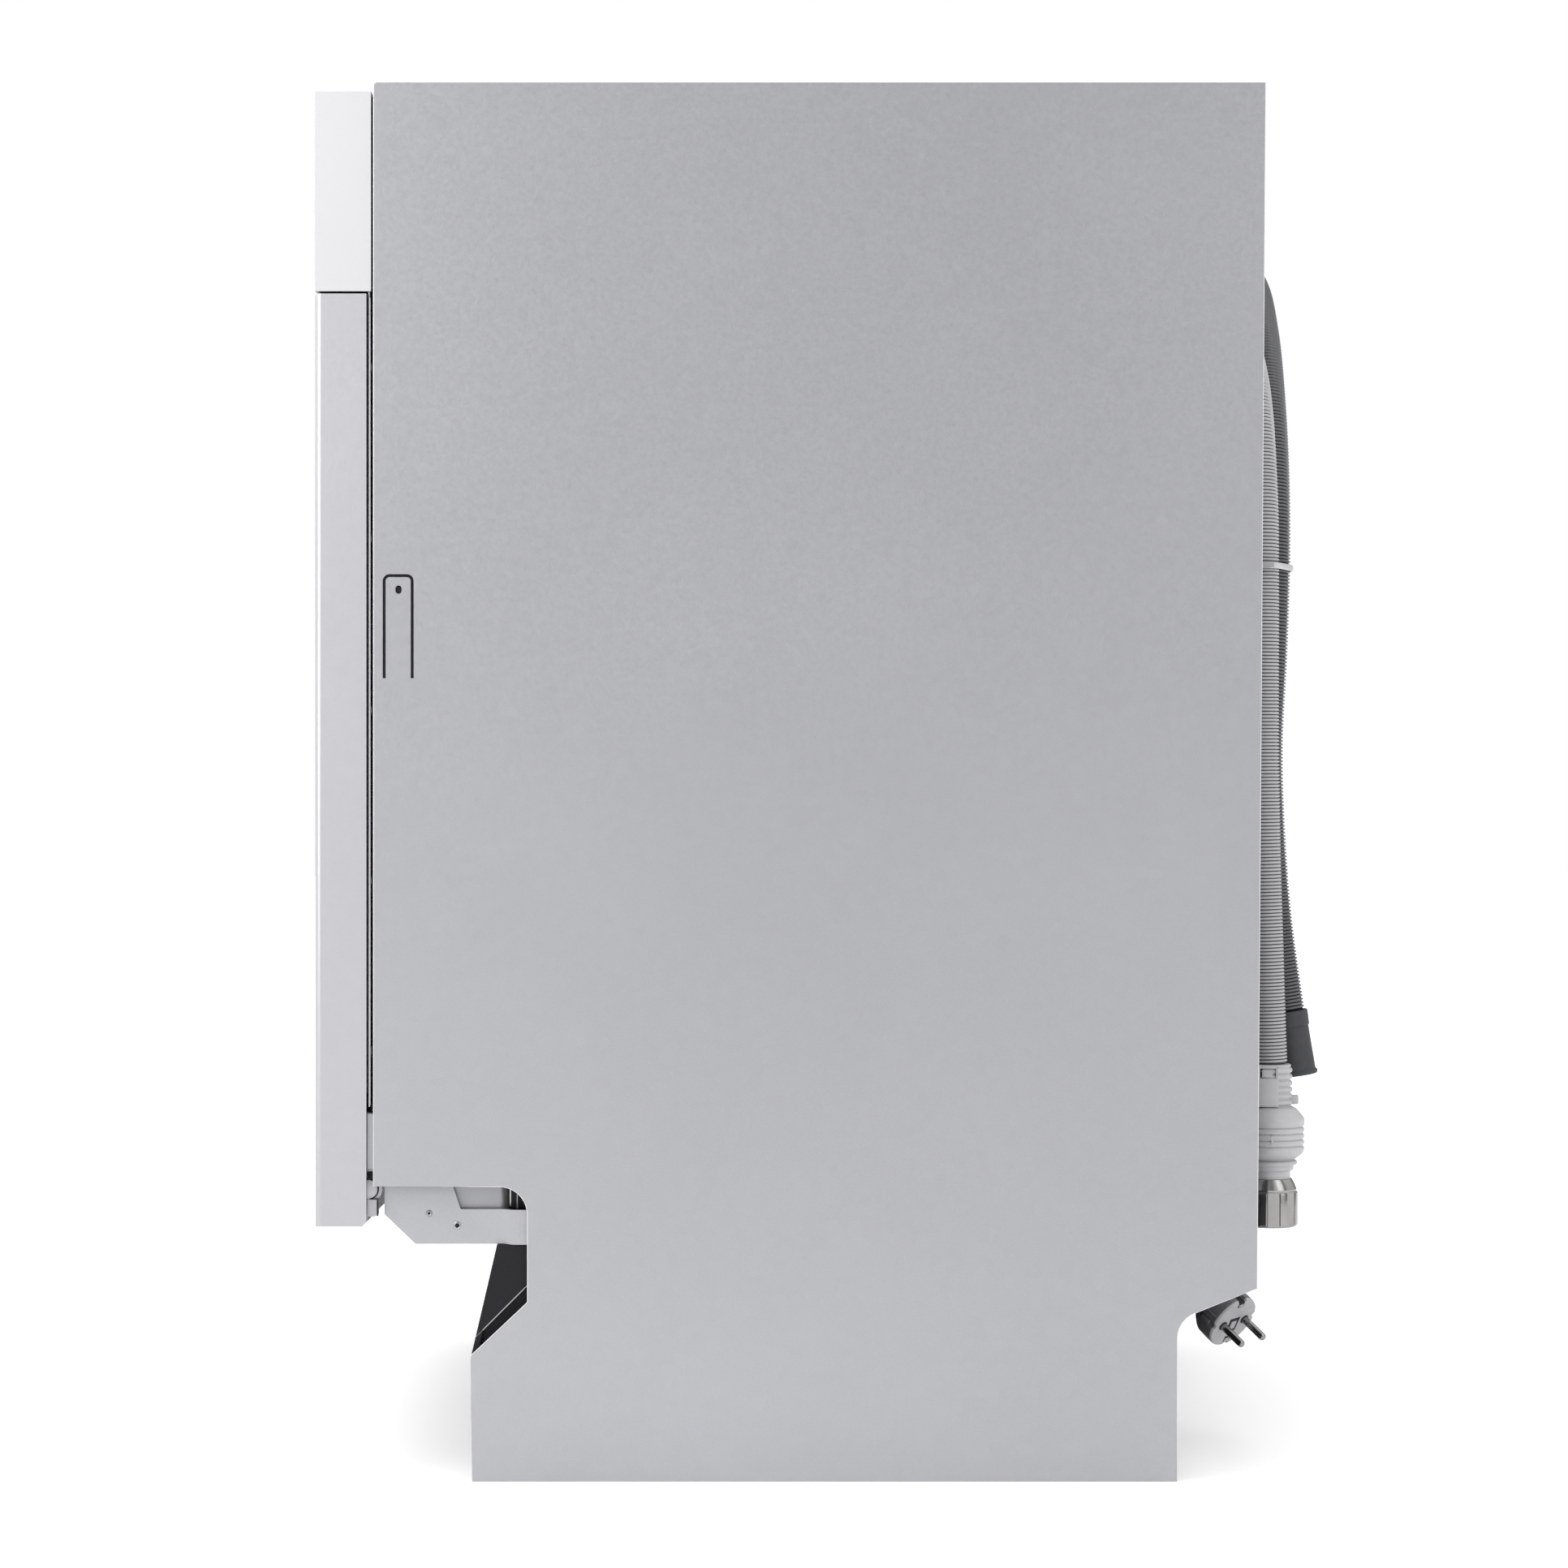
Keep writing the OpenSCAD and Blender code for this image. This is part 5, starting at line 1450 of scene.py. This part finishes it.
def dispenser_details():
    """The detergent lid's grip and ribs, its frame, and the rinse port's marks."""
    face = -222.2
    lid = Shape()
    for k in range(5):
        z = 505 + 7 * k
        lid.box((-90, face - 0.3, z), (-24, face + 0.5, z + 2), 0.4)
    lid.box((-92, face - 0.3, 444), (-22, face + 0.4, 447), 0.3)
    lid.piece("lid_ribs", "dispenser_lid", "grey_plastic")
    port = Shape()
    at = moved(38, -224.9, 515) @ TO_BACK
    rim = [(18.2, -0.3), (23, -0.3), (22.8, 0.9), (21.8, 1.3), (19.2, 1.3), (18.3, 0.8)]
    port.revolve(rim, 56, at, closed=True)
    plate_low, plate_high = node_box("dispenser_body")
    for z0, z1 in ((plate_low.z + 2, plate_low.z + 4), (plate_high.z - 4, plate_high.z - 2)):
        port.box((plate_low.x + 3, -225.2, z0), (plate_high.x - 3, -224.3, z1), 0.4)
    port.piece("rinse_port_rim", "door", "grey_plastic")
    cap = Shape()
    at = moved(38, -221.4, 515) @ TO_BACK
    cap.revolve([(12.0, -0.3), (15.6, -0.3), (15.2, 0.7), (12.4, 0.7)], 48, at, closed=True)
    for k in range(18):
        turn = moved(38, 0, 515) @ TO_BACK @ turned(20 * k)
        cap.box((16.0, -1.0, -224.3), (17.2, 1.0, -221.6), 0.4, turn)
    return cap.piece("rinse_cap_ribs", "rinse_cap", "blue_plastic")


def make_door():
    door_edges()
    liner_screws()
    display()
    button_marks()
    dispenser_details()


# ---- CAD nodes ----

PLAIN_BEVEL = 0.3
BEVELS = {"side_panel_left": 0, "side_panel_right": 0, "door_panel": 0.25, "control_panel": 0.9,
          "hinge_brackets": 0.35, "hinge_arms": 0.4, "kick_plate": 0.5, "base_pan": 0.8, "control_box": 0.6,
          "dispenser_body": 0.8, "dispenser_lid": 0.8, "rinse_cap": 0.6, "hose_hooks": 0.5,
          "upper_rails": 0.3, "upper_feed_duct": 1.6, "salt_cap": 0.8, "filter_cup": 0.5,
          "wash_pump": 1.0, "drain_pump": 1.0,
          "softener": 1.4, "sump": 1.0, "latch_striker": 0.4, "door_latch": 0.5, "air_break": 1.2}
OTHER_FINISH = {"filter_cup": "filter_mesh", "filter_plate": "filter_mesh", "kick_plate": "black_plastic"}
FLAT = {"side_panel_left", "side_panel_right", "control_panel"}


def finish_cad_nodes():
    """Gives each CAD node that shows its material, its shading and its rounded edges."""
    for part in frame["record"]["subparts"]:
        name = part["node"]
        node = NODES[name]
        if node.hide_render:
            continue
        node.data.materials.clear()
        node.data.materials.append(MATERIALS[OTHER_FINISH.get(name, part["material_slot"])])
        width = BEVELS.get(name, PLAIN_BEVEL)
        if name in FLAT:
            node.data.shade_flat()
        else:
            node.data.shade_smooth()
        if width:
            soften(node, width, 3 if name in FLAT else 2, name in FLAT)


# ---- Floor and light ----

def make_floor():
    """A plain pale floor, large enough to fill every view."""
    mesh = bpy.data.meshes.new("floor")
    half = 14.0
    corners = [(-half, -half, 0), (half, -half, 0), (half, half, 0), (-half, half, 0)]
    mesh.from_pydata(corners, [], [[0, 1, 2, 3]])
    f = Finish("floor_paint", (0.90, 0.90, 0.90), 0.6, 0.0, 0.2)
    f.shader.inputs["Emission Color"].default_value = (1, 1, 1, 1)
    f.shader.inputs["Emission Strength"].default_value = 0.24
    mesh.materials.append(f.shade(f.noise(3, 2), 0.006).bump(f.noise(300, 2), 0.02, 0.2).done())
    show("floor", mesh)


def area_light(name, place, target, size, watts):
    data = bpy.data.lights.new(name, "AREA")
    data.shape = "RECTANGLE"
    data.size, data.size_y = size
    data.energy = watts
    light = show(name, data)
    light.location = place
    light.rotation_euler = (Vector(target) - Vector(place)).to_track_quat("-Z", "Y").to_euler()
    light.visible_camera = False


SKY = 1.45          # strength of the overcast light
# How bright the studio is all round, as (share of a turn, level): the dips are dark reflection cards
CARDS = [(0.0, 0.75), (1.0, 0.75), (0.10, 0.30), (0.16, 0.95), (0.27, 0.95), (0.31, 0.20), (0.36, 1.0),
         (0.44, 1.0), (0.475, 0.35), (0.525, 0.35), (0.56, 1.0), (0.64, 1.0), (0.69, 0.20), (0.73, 0.95),
         (0.84, 0.95), (0.90, 0.30)]


def make_world():
    """White behind everything, an overcast light for the surfaces, and dark cards for reflections to show."""
    world = bpy.data.worlds.new("studio")
    world.use_nodes = True
    tree = world.node_tree
    link = tree.links.new

    def ramp(value, stops):
        node = tree.nodes.new("ShaderNodeValToRGB")
        link(value, node.inputs["Fac"])
        for i, (place, level) in enumerate(stops):
            stop = node.color_ramp.elements[i] if i < 2 else node.color_ramp.elements.new(place)
            stop.position = place
            stop.color = (level, level, level, 1)
        return node.outputs["Color"]

    def mixed(factor, a, b, blend="MIX"):
        node = tree.nodes.new("ShaderNodeMix")
        node.data_type = "RGBA"
        node.blend_type = blend
        for socket, value in (("Factor", factor), ("A", a), ("B", b)):
            if hasattr(value, "is_linked"):
                link(value, node.inputs[socket])
            else:
                node.inputs[socket].default_value = value
        return node.outputs["Result"]

    direction = tree.nodes.new("ShaderNodeSeparateXYZ")
    link(tree.nodes.new("ShaderNodeTexCoord").outputs["Generated"], direction.inputs[0])
    height = tree.nodes.new("ShaderNodeMapRange")
    height.inputs["From Min"].default_value = -1.0
    link(direction.outputs["Z"], height.inputs["Value"])
    sky = ramp(height.outputs["Result"], [(0.0, 0.60), (1.0, 0.92), (0.5, 0.60), (0.62, 0.70), (0.8, 0.88)])
    angle = tree.nodes.new("ShaderNodeMath")
    angle.operation = "ARCTAN2"
    link(direction.outputs["Y"], angle.inputs[0])
    link(direction.outputs["X"], angle.inputs[1])
    turn = tree.nodes.new("ShaderNodeMapRange")
    turn.inputs["From Min"].default_value = -math.pi
    turn.inputs["From Max"].default_value = math.pi
    link(angle.outputs[0], turn.inputs["Value"])
    cards = ramp(turn.outputs["Result"], CARDS)
    reflected = mixed(1.0, sky, cards, "MULTIPLY")
    rays = tree.nodes.new("ShaderNodeLightPath")
    seen = mixed(rays.outputs["Is Glossy Ray"], sky, reflected)
    colour = mixed(rays.outputs["Is Camera Ray"], seen, (1 / SKY, 1 / SKY, 1 / SKY, 1))
    link(colour, tree.nodes["Background"].inputs["Color"])
    tree.nodes["Background"].inputs["Strength"].default_value = SKY
    bpy.context.scene.world = world


def make_lights():
    make_world()
    area_light("key", (0.62, -0.62, 0.80), (0.299, -0.20, 0.62), (0.3, 1.1), 4.5)
    area_light("fill", (0.62, 0.66, 0.72), (0.299, 0.24, 0.55), (0.3, 1.0), 1.2)
    area_light("front", (-1.2, -3.0, 1.6), (0, -0.2, 0.4), (1.8, 1.4), 5)
    area_light("top", (0, 0, 3.2), (0, 0, 0.4), (2.0, 2.0), 8)


make_camera()
make_cords()
make_cabinet()
make_tub()
make_door()
finish_cad_nodes()
make_floor()
make_lights()
bpy.context.scene.view_settings.view_transform = "Standard"
